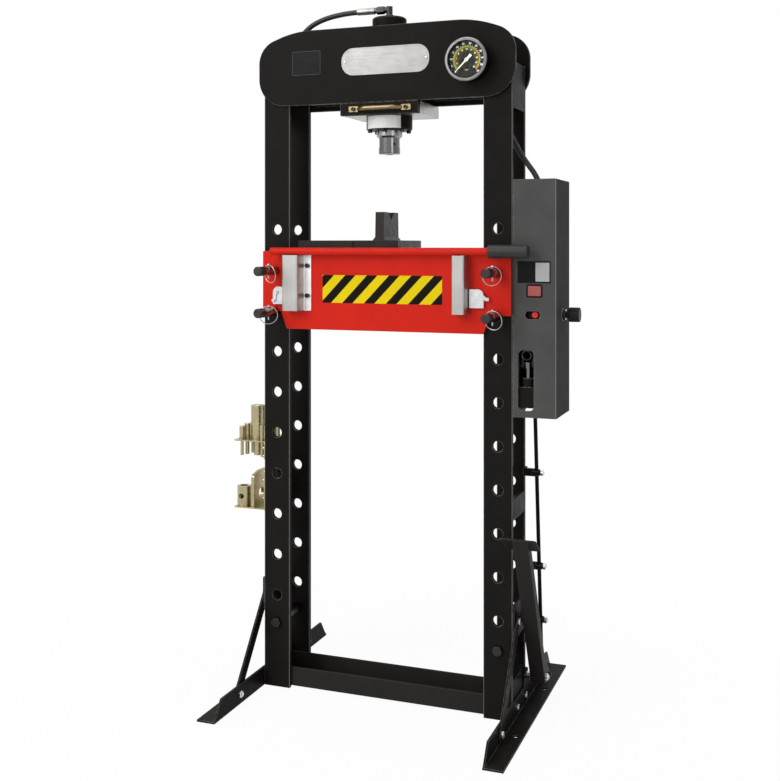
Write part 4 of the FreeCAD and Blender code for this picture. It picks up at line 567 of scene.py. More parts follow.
@dataclass(frozen=True)
class PaintFinish(Finish):
    """Powder coat: orange peel, paler edges (wear and painted highlight), a little dust on top."""

    # edge colour: partly rubbed paint, partly painted highlight; also the painted highlight of the
    # bends
    edge_wear_and_highlight: Triple = (0.2, 0.2, 0.2)
    rub: float = 0.5
    rub_least: float = 0.25  # share of the paler edge that no spot falls below
    spot: float = 0.011
    spot_range: Span = (0.36, 0.60)
    edge_width: float = 0.0028
    edge_turn: float = 0.16
    bend_highlight: float = 0.0  # how far painted highlight lies on the rounded bends
    bend_highlight_range: Span = (0.12, 0.4)
    peel: float = 0.12
    peel_size: float = 0.0022
    relief: float = 0.0004
    dust: float = 0.03
    dust_colour: Triple = (0.4, 0.38, 0.35)
    dust_patch: float = 0.03
    level_range: Span = (0.6, 1.0)

    def dress(self, graph: SurfaceGraph) -> None:
        """Lays colour, dust, paler edges of wear and painted highlight, and orange peel.

        Args:
            graph: the material.
        """
        colour, rough = self.patches(graph)
        rounded, edge = graph.edges(self.edge_width, self.edge_turn)
        spots = graph.noise(self.spot, detail=6.0)
        broken = graph.span(spots, self.spot_range, (self.rub_least * self.rub, self.rub))
        # paler edges: partly rubbed paint, partly painted highlight that edges would catch
        rub_and_highlight_mask = graph.combine("MULTIPLY", edge, broken)
        normal = graph.add("ShaderNodeNewGeometry").outputs["Normal"]
        facing = graph.add("ShaderNodeSeparateXYZ", {0: normal}).outputs
        upward = graph.span(facing["Z"], self.level_range, (0.0, self.dust))
        lying = graph.combine("MULTIPLY", upward, graph.noise(self.dust_patch, detail=5.0))
        dusty = graph.blend(lying, colour, self.dust_colour)
        painted = graph.blend(rub_and_highlight_mask, dusty, self.edge_wear_and_highlight)
        # painted highlight on the rounded bends between front and side faces
        if self.bend_highlight:
            across = [graph.combine("ABSOLUTE", facing[axis], 0.0) for axis in "XY"]
            turned = graph.combine("MINIMUM", *across)
            bent = graph.span(turned, self.bend_highlight_range, (0.0, self.bend_highlight))
            painted = graph.blend(bent, painted, self.edge_wear_and_highlight)
        inputs = {"Base Color": painted, "Roughness": graph.combine("ADD", rough, lying)}
        graph.fill(graph.shader, inputs)
        graph.bump(graph.noise(self.peel_size, detail=2.0), self.peel, self.relief, rounded)


@dataclass(frozen=True)
class MetalFinish(Finish):
    """Bare or plated metal: fine marks along one way, tinted patches and bright edges."""

    tint: Triple = (0.6, 0.6, 0.6)
    tinted: float = 0.3
    cloud: float = 0.6  # size of the tinted patches, as a share of the others
    cloud_range: Span = (0.4, 0.65)
    grain: Triple = (1.0, 1.0, 1.0)
    grain_size: float = 0.004
    grain_depth: float = 0.05
    scuff_range: Span = (0.2, 0.8)
    bright: float = 1.25
    ripple: float = 0.05  # how far the marks vary the roughness

    def dress(self, graph: SurfaceGraph) -> None:
        """Lays the tinted metal, its marks and its bright edges.

        Args:
            graph: the material.
        """
        colour, rough = self.patches(graph)
        clouds = graph.noise(self.patch * self.cloud, detail=5.0)
        share = graph.span(clouds, self.cloud_range, (0.0, self.tinted))
        colour = graph.blend(share, colour, self.tint)
        marks = graph.noise(self.grain_size, detail=4.0, stretch=self.grain)
        rounded, edge = graph.edges(self.edge_width, self.edge_turn)
        scuffed = graph.combine("MULTIPLY", edge, graph.span(marks, NOISE, self.scuff_range))
        colour = graph.blend(scuffed, colour, tone(self.colour, self.bright))
        streaks = graph.span(marks, NOISE, (-self.ripple, self.ripple))
        rough = graph.combine("ADD", rough, streaks, clamp=False)
        graph.fill(graph.shader, {"Base Color": colour, "Roughness": rough, "Metallic": 1.0})
        graph.bump(marks, self.grain_depth, self.relief, rounded)


@dataclass(frozen=True)
class MouldedFinish(Finish):
    """Rubber or moulded plastic with a fine skin and paler edges."""

    skin: float = 0.0009
    skin_depth: float = 0.15
    edge_width: float = 0.0008
    edge_share: float = 0.35
    edge_tone: float = 2.2

    def dress(self, graph: SurfaceGraph) -> None:
        """Lays the colour and the fine skin.

        Args:
            graph: the material.
        """
        colour, rough = self.patches(graph)
        rounded, edge = graph.edges(self.edge_width, self.edge_turn)
        rim = graph.combine("MULTIPLY", edge, self.edge_share)
        colour = graph.blend(rim, colour, tone(self.colour, self.edge_tone))
        graph.fill(graph.shader, {"Base Color": colour, "Roughness": rough})
        graph.bump(graph.noise(self.skin, detail=2.0), self.skin_depth, self.relief, rounded)


@dataclass(frozen=True)
class PrintFinish(Finish):
    """Printed film or plate: even colour under a smooth skin, with faint handling marks."""

    film: float = 0.3
    mark: float = 0.004
    mark_depth: float = 0.05
    relief: float = 0.0002

    def dress(self, graph: SurfaceGraph) -> None:
        """Lays the colour, the marks and the clear film.

        Args:
            graph: the material.
        """
        colour, rough = self.patches(graph)
        inputs = {"Base Color": colour, "Roughness": rough, "Coat Weight": self.film}
        graph.fill(graph.shader, inputs)
        graph.bump(graph.noise(self.mark), self.mark_depth, self.relief, None)


@dataclass(frozen=True)
class GlassFinish(Finish):
    """Clear window that lets the lamps through to what lies behind it."""

    smear_range: Span = (0.4, 0.7)
    smooth: float = 0.01  # roughness where there is no smear
    ior: float = 1.16

    def dress(self, graph: SurfaceGraph) -> None:
        """Lays clear glass with faint smears.

        Args:
            graph: the material.
        """
        smears = graph.noise(self.patch, detail=4.0)
        rough = graph.span(smears, self.smear_range, (self.smooth, self.smooth + self.spread))
        inputs = {"Base Color": (*self.colour, 1.0), "Roughness": rough}
        graph.fill(graph.shader, {**inputs, "Transmission Weight": 1.0, "IOR": self.ior})
        clear = graph.add("ShaderNodeBsdfTransparent")
        shadow = graph.add("ShaderNodeLightPath").outputs["Is Shadow Ray"]
        graph.show_mix(shadow, graph.shader.outputs[0], clear.outputs[0])


SLOT_FINISHES: dict[str, Finish] = {
    "black_paint": PaintFinish(
        "black_powder_coat", (0.0122, 0.0108, 0.0100), 0.34, specular=0.018,
        edge_wear_and_highlight=(0.30, 0.29, 0.28), rub=0.8,
    ),
    "grey_paint": PaintFinish(
        "grey_powder_coat", (0.074, 0.073, 0.072), 0.55, specular=0.004, peel=0.25,
        edge_wear_and_highlight=(0.34, 0.34, 0.33), rub=0.8,
    ),
    "red_paint": PaintFinish(
        "red_powder_coat", (0.53, 0.016, 0.008), 0.32, specular=0.07, mottle=0.04,
        edge_wear_and_highlight=(0.75, 0.12, 0.08),
    ),
    "black_oxide": MetalFinish(
        "black_oxide", (0.035, 0.035, 0.037), 0.38, tint=(0.06, 0.055, 0.05), bright=4.0
    ),
    "dark_steel": MetalFinish(
        "oiled_steel", (0.022, 0.0195, 0.0185), 0.42, tint=(0.036, 0.030, 0.027), bright=6.0
    ),
    "ground_steel": MetalFinish(
        "ground_steel", (0.45, 0.44, 0.43), 0.36, grain=(0.06, 1.0, 1.0), grain_size=0.0016,
        grain_depth=0.25, tint=(0.36, 0.35, 0.34),
    ),
    "bright_zinc": MetalFinish(
        "bright_zinc", (0.66, 0.67, 0.68), 0.28, tint=(0.52, 0.53, 0.56), patch=0.02,
        grain_depth=0.006, ripple=0.02,
    ),
    "yellow_zinc": MetalFinish(
        "yellow_zinc", (0.46, 0.40, 0.245), 0.3, tint=(0.34, 0.30, 0.17), tinted=0.6, patch=0.03,
        bright=1.2, grain_depth=0.008, ripple=0.03,
    ),
    "ram_chrome": MetalFinish(
        "hard_chrome", (0.16, 0.16, 0.16), 0.16, spread=0.015, mottle=0.04,
        tint=(0.12, 0.12, 0.125), grain=(1.0, 1.0, 0.08), grain_size=0.002, grain_depth=0.012,
        ripple=0.01,
    ),
    "gauge_ring": MetalFinish(
        "satin_steel", (0.17, 0.165, 0.16), 0.2, spread=0.04, patch=0.02, tint=(0.12, 0.12, 0.12)
    ),
    "gauge_window": GlassFinish("gauge_window", (0.97, 0.98, 0.98), spread=0.02, patch=0.03),
    "dial_face": PrintFinish("dial_black", (0.010, 0.010, 0.010), 0.6, film=0.0, specular=0.1),
    "needle_paint": PrintFinish("needle_cream", (0.72, 0.72, 0.58), 0.5, film=0.0, patch=0.01),
    "plain_aluminium": MetalFinish(
        "mill_aluminium", (0.44, 0.43, 0.415), 0.42, grain=(1.0, 1.0, 0.05), grain_size=0.0025,
        grain_depth=0.12, tint=(0.38, 0.37, 0.36),
    ),
    "hose_rubber": MouldedFinish(
        "hose_rubber", (0.022, 0.022, 0.022), 0.42, specular=0.25, skin_depth=0.3
    ),
    "grip_rubber": MouldedFinish(
        "grip_rubber", (0.030, 0.030, 0.029), 0.36, specular=0.2, skin_depth=0.12
    ),
    "black_plastic": MouldedFinish("black_plastic", (0.012, 0.012, 0.012), 0.42, specular=0.12),
    "red_plastic": MouldedFinish("red_plastic", (0.55, 0.02, 0.02), 0.3, specular=0.3),
}

DIAL_INKS: dict[str, Triple] = {
    "dial_white": (0.82, 0.82, 0.80),
    "dial_yellow": (0.30, 0.275, 0.03),
    "dial_olive": (0.115, 0.105, 0.002),
    "dial_shade": (0.040, 0.037, 0.001),
    "dial_orange": (0.44, 0.24, 0.05),
    "dial_red": (0.60, 0.12, 0.09),
}

FITTING_FINISHES: tuple[Finish, ...] = (
    PrintFinish("hazard_yellow", (0.68, 0.52, 0.005), 0.42, mottle=0.03, specular=0.04, film=0.04),
    PrintFinish("hazard_black", (0.009, 0.008, 0.006), 0.42, specular=0.02, film=0.02),
    MetalFinish(
        "satin_aluminium", (0.23, 0.226, 0.222), 0.4, spread=0.04, grain=(0.05, 1.0, 1.0),
        grain_size=0.0025, grain_depth=0.1, tint=(0.20, 0.197, 0.193),
    ),
    PrintFinish("label_dark", (0.005, 0.005, 0.0055), 0.4, specular=0.08, film=0.0),
    PrintFinish("label_line", (0.045, 0.045, 0.045), 0.45, specular=0.1, film=0.0),
    PrintFinish("label_pale", (0.66, 0.66, 0.65), 0.4, mottle=0.04, specular=0.2),
    PrintFinish("label_grey", (0.36, 0.36, 0.355), 0.4, mottle=0.04, specular=0.1, film=0.05),
    PrintFinish("label_red", (0.34, 0.08, 0.07), 0.4, specular=0.15),
    MetalFinish("gland_steel", (0.15, 0.15, 0.15), 0.2, patch=0.01, tint=(0.09, 0.09, 0.09)),
    *(PrintFinish(name, ink, 0.6, film=0.0, specular=0.1) for name, ink in DIAL_INKS.items()),
)


@dataclass(frozen=True)
class TwoTone:
    """A node whose lower or outer part has another finish than its slot."""

    node: str
    other: Finish
    axis: int  # 0, 1 or 2 for X, Y or Z
    edge: float  # where the other finish takes over, in millimetres
    below: bool  # whether it lies below that place

    def build(self, main: Finish) -> Material:
        """Makes a material that changes from one finish to the other at the edge.

        Args:
            main: finish of the rest of the node.

        Returns:
            The material with both finishes.
        """
        graph = SurfaceGraph(f"{self.node}_{main.name}")
        first, second = main.lay(graph), self.other.lay(graph)
        place = graph.add("ShaderNodeSeparateXYZ", {0: graph.place}).outputs[self.axis]
        test = "LESS_THAN" if self.below else "GREATER_THAN"
        share = graph.combine(test, place, self.edge * MM, clamp=False)
        graph.show_mix(share, first, second)
        return graph.material


NODE_FINISHES: dict[str, Finish] = {
    # painted highlight on the rounded bends of the cover and the uprights
    "pump_cover": replace(SLOT_FINISHES["grey_paint"], bend_highlight=0.55),
    **{
        f"upright_{face}_{side}": replace(SLOT_FINISHES["black_paint"], bend_highlight=0.7)
        for face in ("front", "rear")
        for side in ("left", "right")
    },
    # darker copy of the yellow zinc of the racks and mandrels: painted shade
    "carriage_handle": MetalFinish(
        "painted_shade_yellow_zinc", (0.21, 0.155, 0.075), 0.32, tint=(0.30, 0.24, 0.13), patch=0.02,
        bright=1.8,
    ),
    "bed_pins": MetalFinish(
        "drawn_pin_steel", (0.34, 0.31, 0.30), 0.24, tint=(0.20, 0.18, 0.17), tinted=0.6,
        patch=0.03, grain_depth=0.01,
    ),
    "linch_pins": MetalFinish(
        "clip_wire", (0.46, 0.46, 0.45), 0.3, tint=(0.30, 0.28, 0.26), tinted=0.6, patch=0.01
    ),
    # pedal and base beams: lighter copies of the black paint, painted light on these low parts
    "pedal": PaintFinish(
        "painted_light_pedal_black", (0.024, 0.022, 0.021), 0.4, specular=0.02, edge_wear_and_highlight=(0.12, 0.12, 0.12),
        dust=0.06,
    ),
    "base_beams": PaintFinish(
        "painted_light_beam_black", (0.024, 0.022, 0.020), 0.45, specular=0.02, edge_wear_and_highlight=(0.09, 0.09, 0.09),
        dust=0.06,
    ),
}

TURNED = MetalFinish("turned_steel", (0.26, 0.26, 0.26), 0.25)
CRIMPED = MetalFinish("crimped_steel", (0.24, 0.23, 0.21), 0.34)
# brighter aluminium, a painted highlight on the flanges of the guard brackets
PAINTED_HIGHLIGHT_ALUMINIUM = MetalFinish("painted_highlight_aluminium", (0.86, 0.85, 0.83), 0.4)
PIN_END = MetalFinish(
    "dark_pin_end", (0.050, 0.043, 0.042), 0.45, tint=(0.075, 0.063, 0.06), bright=3.0
)

TWO_TONES: tuple[TwoTone, ...] = (
    TwoTone("nose_flange", TURNED, 2, 1500.6, True),
    TwoTone("elbow_fitting", CRIMPED, 0, -50.0, True),
    TwoTone("bed_pins", PIN_END, 1, -155.0, True),
    # painted highlight on the flanges, behind Y -84.6 mm
    TwoTone("guard_brackets", PAINTED_HIGHLIGHT_ALUMINIUM, 1, -84.6, False),
)


class FinishBook:
    """All materials of the press, made once and handed out by name."""

    def __init__(self) -> None:
        """Makes every material."""
        finishes = {**SLOT_FINISHES, **{finish.name: finish for finish in FITTING_FINISHES}}
        self.made = {key: finish.build() for key, finish in finishes.items()}

    def __getitem__(self, key: str) -> Material:
        """The material of a slot or of a fitting."""
        return self.made[key]

    def dress_nodes(self) -> None:
        """Gives every node of the model the finish of its slot, or its own."""
        slots = {row["node"]: row["material_slot"] for row in frame["record"]["subparts"]}
        chosen = {name: self.made[slots[name]] for name in frame["nodes"]}
        for name, finish in NODE_FINISHES.items():
            chosen[name] = finish.build()
        for pair in TWO_TONES:
            main = NODE_FINISHES.get(pair.node, SLOT_FINISHES[slots[pair.node]])
            chosen[pair.node] = pair.build(main)
        for name, material in chosen.items():
            frame["nodes"][name].material_slots[0].material = material
        LOG.info("%d nodes dressed", len(chosen))


# ---- hose


@dataclass
class Hose:
    """Pressure hose from the elbow on the cylinder to the top of the pump."""

    finishes: FinishBook
    diameter: float = 14.0
    length: float = 1.2231  # metres
    route: tuple[Triple, ...] = (
        (-85.0, 0.0, 1825.0),
        (-280.0, 0.0, 1825.0),
        (-280.0, 12.0, 1630.0),
        (-115.0, 58.0, 1634.0),
        (75.0, 58.0, 1640.0),
        (235.0, 20.0, 1625.0),
        (318.0, -8.0, 1496.0),
        (352.0, -13.0, 1428.0),
        (412.0, -18.0, 1350.0),
        (412.0, -18.0, 1290.0),
    )
    held_from: Triple = (-100.0, 0.0, 1825.0)
    still_from: Triple = (-130.0, 0.0, 1675.0)
    steps: int = 24  # of the curve between two points
    round_steps: int = 8

    def line(self) -> bpy.types.Object:
        """Draws the hose's smooth line.

        Returns:
            A curve of one open spline, with no thickness yet.
        """
        curve = bpy.data.curves.new("hose_line", "CURVE")
        curve.dimensions = "3D"
        curve.resolution_u = self.steps
        spline = curve.splines.new("NURBS")
        spline.points.add(len(self.route) - 1)
        for point, place in zip(spline.points, self.route):
            point.co = (*metres(place), 1.0)
        spline.order_u = 3
        spline.use_endpoint_u = True
        line = bpy.data.objects.new("hose_line", curve)
        bpy.context.scene.collection.objects.link(line)
        return line

    def build(self) -> None:
        """Makes the hose in place of the model's own hose, which it hides."""
        line = self.line()
        bare = bpy.data.meshes.new_from_object(line)
        line.data.bevel_depth = self.diameter / 2 * MM
        line.data.bevel_resolution = self.round_steps
        line.data.use_fill_caps = True
        hose = bpy.data.objects.new("pressure_hose", bpy.data.meshes.new_from_object(line))
        bpy.context.scene.collection.objects.link(hose)
        bpy.data.objects.remove(line)
        bpy.data.meshes.remove(bare)
        hose.data.materials.clear()
        hose.data.materials.append(self.finishes["hose_rubber"])
        hose.data.shade_smooth()
        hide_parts("hydraulic_hose")
        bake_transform(hose)


# ---- plates


@dataclass(frozen=True)
class PlateSize:
    """A plain plate on a face that looks to the front, in millimetres."""

    name: str
    x: Span
    z: Span
    face: float  # the face it lies on
    corner: float
    rim: float
    finishes: tuple[str, str] = ("label_line", "label_dark")  # of the rim and of the field
    slot: str | None = None
    body: str = "frame"
    thickness: float = 0.8
    sink: float = 0.3  # field below the rim


@dataclass
class Plates:
    """Plain plates on the head, the pump cover and the nose, and the striped band on the bed."""

    finishes: FinishBook
    name_plate: PlateSize = PlateSize(
        "name_plate", (-114.0, 130.0), (1642.0, 1714.0), -80.0, 33.0, 3.0,
        finishes=("satin_aluminium", "satin_aluminium"), slot="plain_aluminium",
    )
    labels: tuple[PlateSize, ...] = (
        PlateSize("head_label", (-258.0, -175.0), (1650.0, 1714.0), -80.0, 3.0, 1.6),
        PlateSize("rating_label", (358.5, 444.5), (1100.0, 1157.0), -70.0, 2.0, 1.6),
        PlateSize(
            "rating_panel", (405.5, 440.5), (1105.0, 1152.0), -70.5, 1.0, 0.8,
            finishes=("label_grey", "label_grey"), thickness=0.5, sink=0.1,
        ),
        PlateSize(
            "small_label", (382.0, 423.0), (1065.0, 1098.0), -70.0, 4.4, 4.0,
            finishes=("label_dark", "label_red"),
        ),
    )
    corner_steps: int = 10
    rivet_in: float = 9.0  # from the ends of the name plate
    rivet_d: float = 6.5
    rivet_t: float = 0.8
    # (how much narrower on each side, how much higher) for each step of a rivet's dome
    rivet_steps: tuple[Span, ...] = ((0.7, 0.5), (0.8, 0.3), (0.8, 0.1))
    band_x: Span = (-168.5, 164.7)
    band_z: Span = (1043.0, 1116.5)
    band_face: float = -80.5
    band_t: float = 0.4
    stripe_pitch: float = 61.6
    stripe_start: float = -144.1  # lower end of the first whole yellow stripe
    stripe_width: float = 32.0
    stripe_lean: float = 70.2  # how far a stripe leans over the height of the band
    stripes_before: int = 2  # stripes that start left of the band
    nose_centre: Triple = (-9.0, 0.0, 1520.0)
    nose_diameter: float = 123.0
    nose_sides: int = 180
    nose_play: float = 0.1
    nose_label_h: float = 33.0
    nose_label_t: float = 0.25
    nose_half_angle: float = 49.3

    def plate(self, size: PlateSize) -> None:
        """Makes a plate with rounded corners, a raised rim and a flat field.

        Args:
            size: where it lies, how big it is and which finishes it has.
        """
        low = (size.x[0], size.face - size.thickness, size.z[0])
        high = (size.x[1], size.face, size.z[1])
        piece = Piece.block(size.name, low, high)
        piece.pick(Pick.EDGES, lambda edge: runs_along(edge, 1))
        piece.bevel(size.corner, self.corner_steps)
        piece.pick(Pick.FACES, to_front)
        piece.inset(size.rim).push((0.0, size.sink, 0.0))
        floor = (size.face - size.thickness + size.sink / 2) * MM
        materials = [self.finishes[key] for key in size.finishes]
        piece.paint(materials, lambda face: int(to_front(face) and face.center.y > floor))
        piece.finish(size.body, size.slot)

    def rivets(self) -> None:
        """Sets a domed rivet at each end of the name plate."""
        size = self.name_plate
        y = size.face - size.thickness + size.sink - self.rivet_t / 2
        z = sum(size.z) / 2
        rivets = []
        for number, x in enumerate((size.x[0] + self.rivet_in, size.x[1] - self.rivet_in)):
            rivet = Piece.round(
                f"plate_rivet_{number}", (x, y, z), self.rivet_d, self.rivet_t, Axis.Y
            )
            for width, rise in self.rivet_steps:
                ratio = 1.0 - 2 * width / self.rivet_d
                rivet.pick(Pick.FACES, to_front)
                rivet.push((0.0, -rise, 0.0)).stretch(ratio, 1.0, ratio)
            rivets.append(rivet)
        whole = rivets[0].take_in(rivets[1:], "plate_rivets")
        whole.paint((self.finishes["bright_zinc"],)).finish("frame", "bright_zinc", angle=60.0)

    def stripe(self, face: bpy.types.MeshPolygon) -> int:
        """Slot of a face of the band.

        Args:
            face: the face.

        Returns:
            1 on a yellow stripe and 0 between two.
        """
        x, _, z = face.center / MM
        lean = self.stripe_lean / (self.band_z[1] - self.band_z[0])
        foot = x - (z - self.band_z[0]) * lean
        return int((foot - self.stripe_start) % self.stripe_pitch < self.stripe_width)

    def band(self) -> None:
        """Makes the striped band, cut along the edges of its stripes."""
        low = (self.band_x[0], self.band_face - self.band_t, self.band_z[0])
        high = (self.band_x[1], self.band_face, self.band_z[1])
        piece = Piece.block("hazard_band", low, high)
        normal = Vector((self.band_z[1] - self.band_z[0], 0.0, -self.stripe_lean)).normalized()
        count = math.ceil((self.band_x[1] - self.band_x[0] + self.stripe_lean) / self.stripe_pitch)
        for step in range(-self.stripes_before, count + 1):
            start = self.stripe_start + step * self.stripe_pitch
            for x in (start, start + self.stripe_width):
                piece.cut((x, 0.0, self.band_z[0]), normal)
        piece.paint((self.finishes["hazard_black"], self.finishes["hazard_yellow"]), self.stripe)
        piece.finish("bed")

    def nose_label(self) -> None:
        """Makes the plain pale label that wraps round the front of the nose."""
        piece = Piece.round(
            "nose_label",
            self.nose_centre,
            self.nose_diameter + self.nose_play,
            self.nose_label_h,
            Axis.Z,
            sides=self.nose_sides,
            fill="NOTHING",
        )
        angle = math.radians(self.nose_half_angle)
        for side in (-1, 1):
            edge = Vector((side * math.sin(angle), -math.cos(angle), 0.0))
            away = Vector((side * math.cos(angle), math.sin(angle), 0.0))
            point = Vector(self.nose_centre) + edge * self.nose_diameter / 2
            piece.cut(point, away, drop=True)
        piece.modify("SOLIDIFY", thickness=self.nose_label_t * MM, offset=1.0)
        piece.paint((self.finishes["label_pale"],)).finish("carriage")

    def build(self) -> None:
        """Makes all plates."""
        self.plate(self.name_plate)
        self.rivets()
        for size in self.labels:
            self.plate(size)
        self.band()
        self.nose_label()


# ---- gauge


@dataclass
class GaugeFace:
    """Printed scale of the pressure gauge, seen through its window."""

    finishes: FinishBook
    centre: Triple = (240.0, -113.0, 1660.0)
    start: float = 225.0  # direction of zero, degrees from +X towards +Z
    sweep: float = 270.0
    print_t: float = 0.25
    type_weight: float = 0.12  # how much the type is fattened
    outer_numbers: tuple[int, ...] = tuple(range(0, 60, 5))
    outer_h: float = 6.6
    outer_r: float = 41.2
    inner_numbers: tuple[int, ...] = tuple(range(0, 33, 3))
    inner_h: float = 5.0
    inner_r: float = 26.6
    ticks: int = 28
    tick_r: float = 37.4
    tick_size: Span = (2.4, 0.6)  # length and width
    limit_r: float = 40.2
    limit_size: Span = (5.5, 1.4)
    bands_t: float = 0.15
    band_r: Span = (32.6, 34.8)
    high_from: float = 0.66  # share of the sweep where the band changes colour
    zone_r: Span = (28.2, 32.6)
    shade_r: Span = (21.5, 28.2)
    arc_step: float = 4.0  # degrees between two edges of a band
    unit_h: float = 7.0
    unit_r: float = 25.0

    def at(self, radius: float, share: float, lift: float = 0.0) -> Vector:
        """A point of the dial.

        Args:
            radius: distance from the middle in millimetres.
            share: share of the sweep, from 0 to 1.
            lift: height in front of the dial in millimetres.

        Returns:
            The point in millimetres.
        """
        angle = math.radians(self.start - share * self.sweep)
        away = Vector((radius * math.cos(angle), -lift, radius * math.sin(angle)))
        return Vector(self.centre) + away

    def tick(self, name: str, share: float, radius: float, size: Span) -> Piece:
        """One mark of the scale, pointing to the middle.

        Args:
            name: name of the mark.
            share: share of the sweep.
            radius: of its outer end, in millimetres.
            size: length towards the middle and width, in millimetres.

        Returns:
            The mark.
        """
        Piece.deselect()
        length, width = size
        angle = math.radians(self.start - share * self.sweep)
        middle = metres(self.at(radius - length / 2, share, self.print_t / 2))
        bpy.ops.mesh.primitive_cube_add(size=1, location=middle, rotation=(0.0, -angle, 0.0))
        bpy.context.active_object.scale = metres((length, self.print_t, width))
        return Piece(name)

    def arc(self, name: str, radii: Span, shares: Span) -> Piece:
        """A printed band along the scale, spun from one edge.

        Args:
            name: name of the band.
            radii: inner and outer radius in millimetres.
            shares: where on the sweep it starts and ends.

        Returns:
            The band.
        """
        Piece.deselect()
        first, last = (metres(self.at(radius, shares[0])) for radius in radii)
        bpy.ops.mesh.primitive_plane_add(size=1, location=(first + last) / 2)
        piece = Piece(name)
        for vertex, place in zip(piece.object.data.vertices, (first, last, last, first)):
            vertex.co = place
        piece.pick_all()
        bpy.ops.mesh.remove_doubles(threshold=TINY)
        bpy.ops.mesh.delete(type="ONLY_FACE")
        piece.pick(Pick.EDGES, lambda edge: True)
        turn = (shares[1] - shares[0]) * self.sweep
        bpy.ops.mesh.spin(
            steps=round(turn / self.arc_step),
            angle=math.radians(turn),
            center=metres(self.centre),
            axis=(0.0, -1.0, 0.0),
        )
        return piece.modify("SOLIDIFY", thickness=self.bands_t * MM, offset=0.0)

    def number(self, name: str, body: str, place: Vector, height: float) -> Piece:
        """A number or a unit of the scale, upright.

        Args:
            name: name of the piece.
            body: what it says.
            place: its middle, in millimetres.
            height: of its type, in millimetres.

        Returns:
            The number as a mesh.
        """
        Piece.deselect()
        bpy.ops.object.text_add(location=metres(place), rotation=Axis.Y.value)
        text = bpy.context.active_object.data
        text.body = body
        text.size = height * MM
        text.align_x = "CENTER"
        text.align_y = "CENTER"
        text.extrude = self.print_t / 2 * MM
        text.offset = self.type_weight * MM
        bpy.ops.object.convert(target="MESH")
        return Piece(name)

    def numerals(self, name: str, numbers: Sequence[int], radius: float, height: float) -> Piece:
        """All numbers of one scale as one mesh.

        Args:
            name: name of the scale.
            numbers: the numbers, evenly spread over the sweep.
            radius: of their middles, in millimetres.
            height: of their type, in millimetres.

        Returns:
            The scale.
        """
        made = []
        for index, value in enumerate(numbers):
            place = self.at(radius, index / (len(numbers) - 1), self.print_t / 2)
            made.append(self.number(f"{name}_{value}", str(value), place, height))
        return made[0].take_in(made[1:], name)

    def build(self) -> None:
        """Makes the whole scale."""
        ticks = [
            self.tick(f"tick_{index}", index / (self.ticks - 1), self.tick_r, self.tick_size)
            for index in range(self.ticks)
        ]
        below = Vector(self.centre) + Vector((0.0, -self.print_t / 2, -self.unit_r))
        outer = ("gauge_outer_scale", self.outer_numbers, self.outer_r, self.outer_h)
        inner = ("gauge_inner_scale", self.inner_numbers, self.inner_r, self.inner_h)
        high = self.high_from
        for piece, ink in (
            (ticks[0].take_in(ticks[1:], "gauge_ticks"), "dial_white"),
            (self.numerals(*outer), "dial_white"),
            (self.numerals(*inner), "dial_white"),
            (self.arc("gauge_band", self.band_r, (0.0, high)), "dial_yellow"),
            (self.arc("gauge_band_high", self.band_r, (high, 1.0)), "dial_orange"),
            (self.arc("gauge_zone", self.zone_r, (0.0, 1.0)), "dial_olive"),
            (self.arc("gauge_zone_inner", self.shade_r, (0.0, 1.0)), "dial_shade"),
            (self.number("gauge_unit", "bar", below, self.unit_h), "dial_yellow"),
            (self.tick("gauge_limit", 1.0, self.limit_r, self.limit_size), "dial_red"),
        ):
            piece.paint((self.finishes[ink],)).finish("frame")


# ---- fasteners


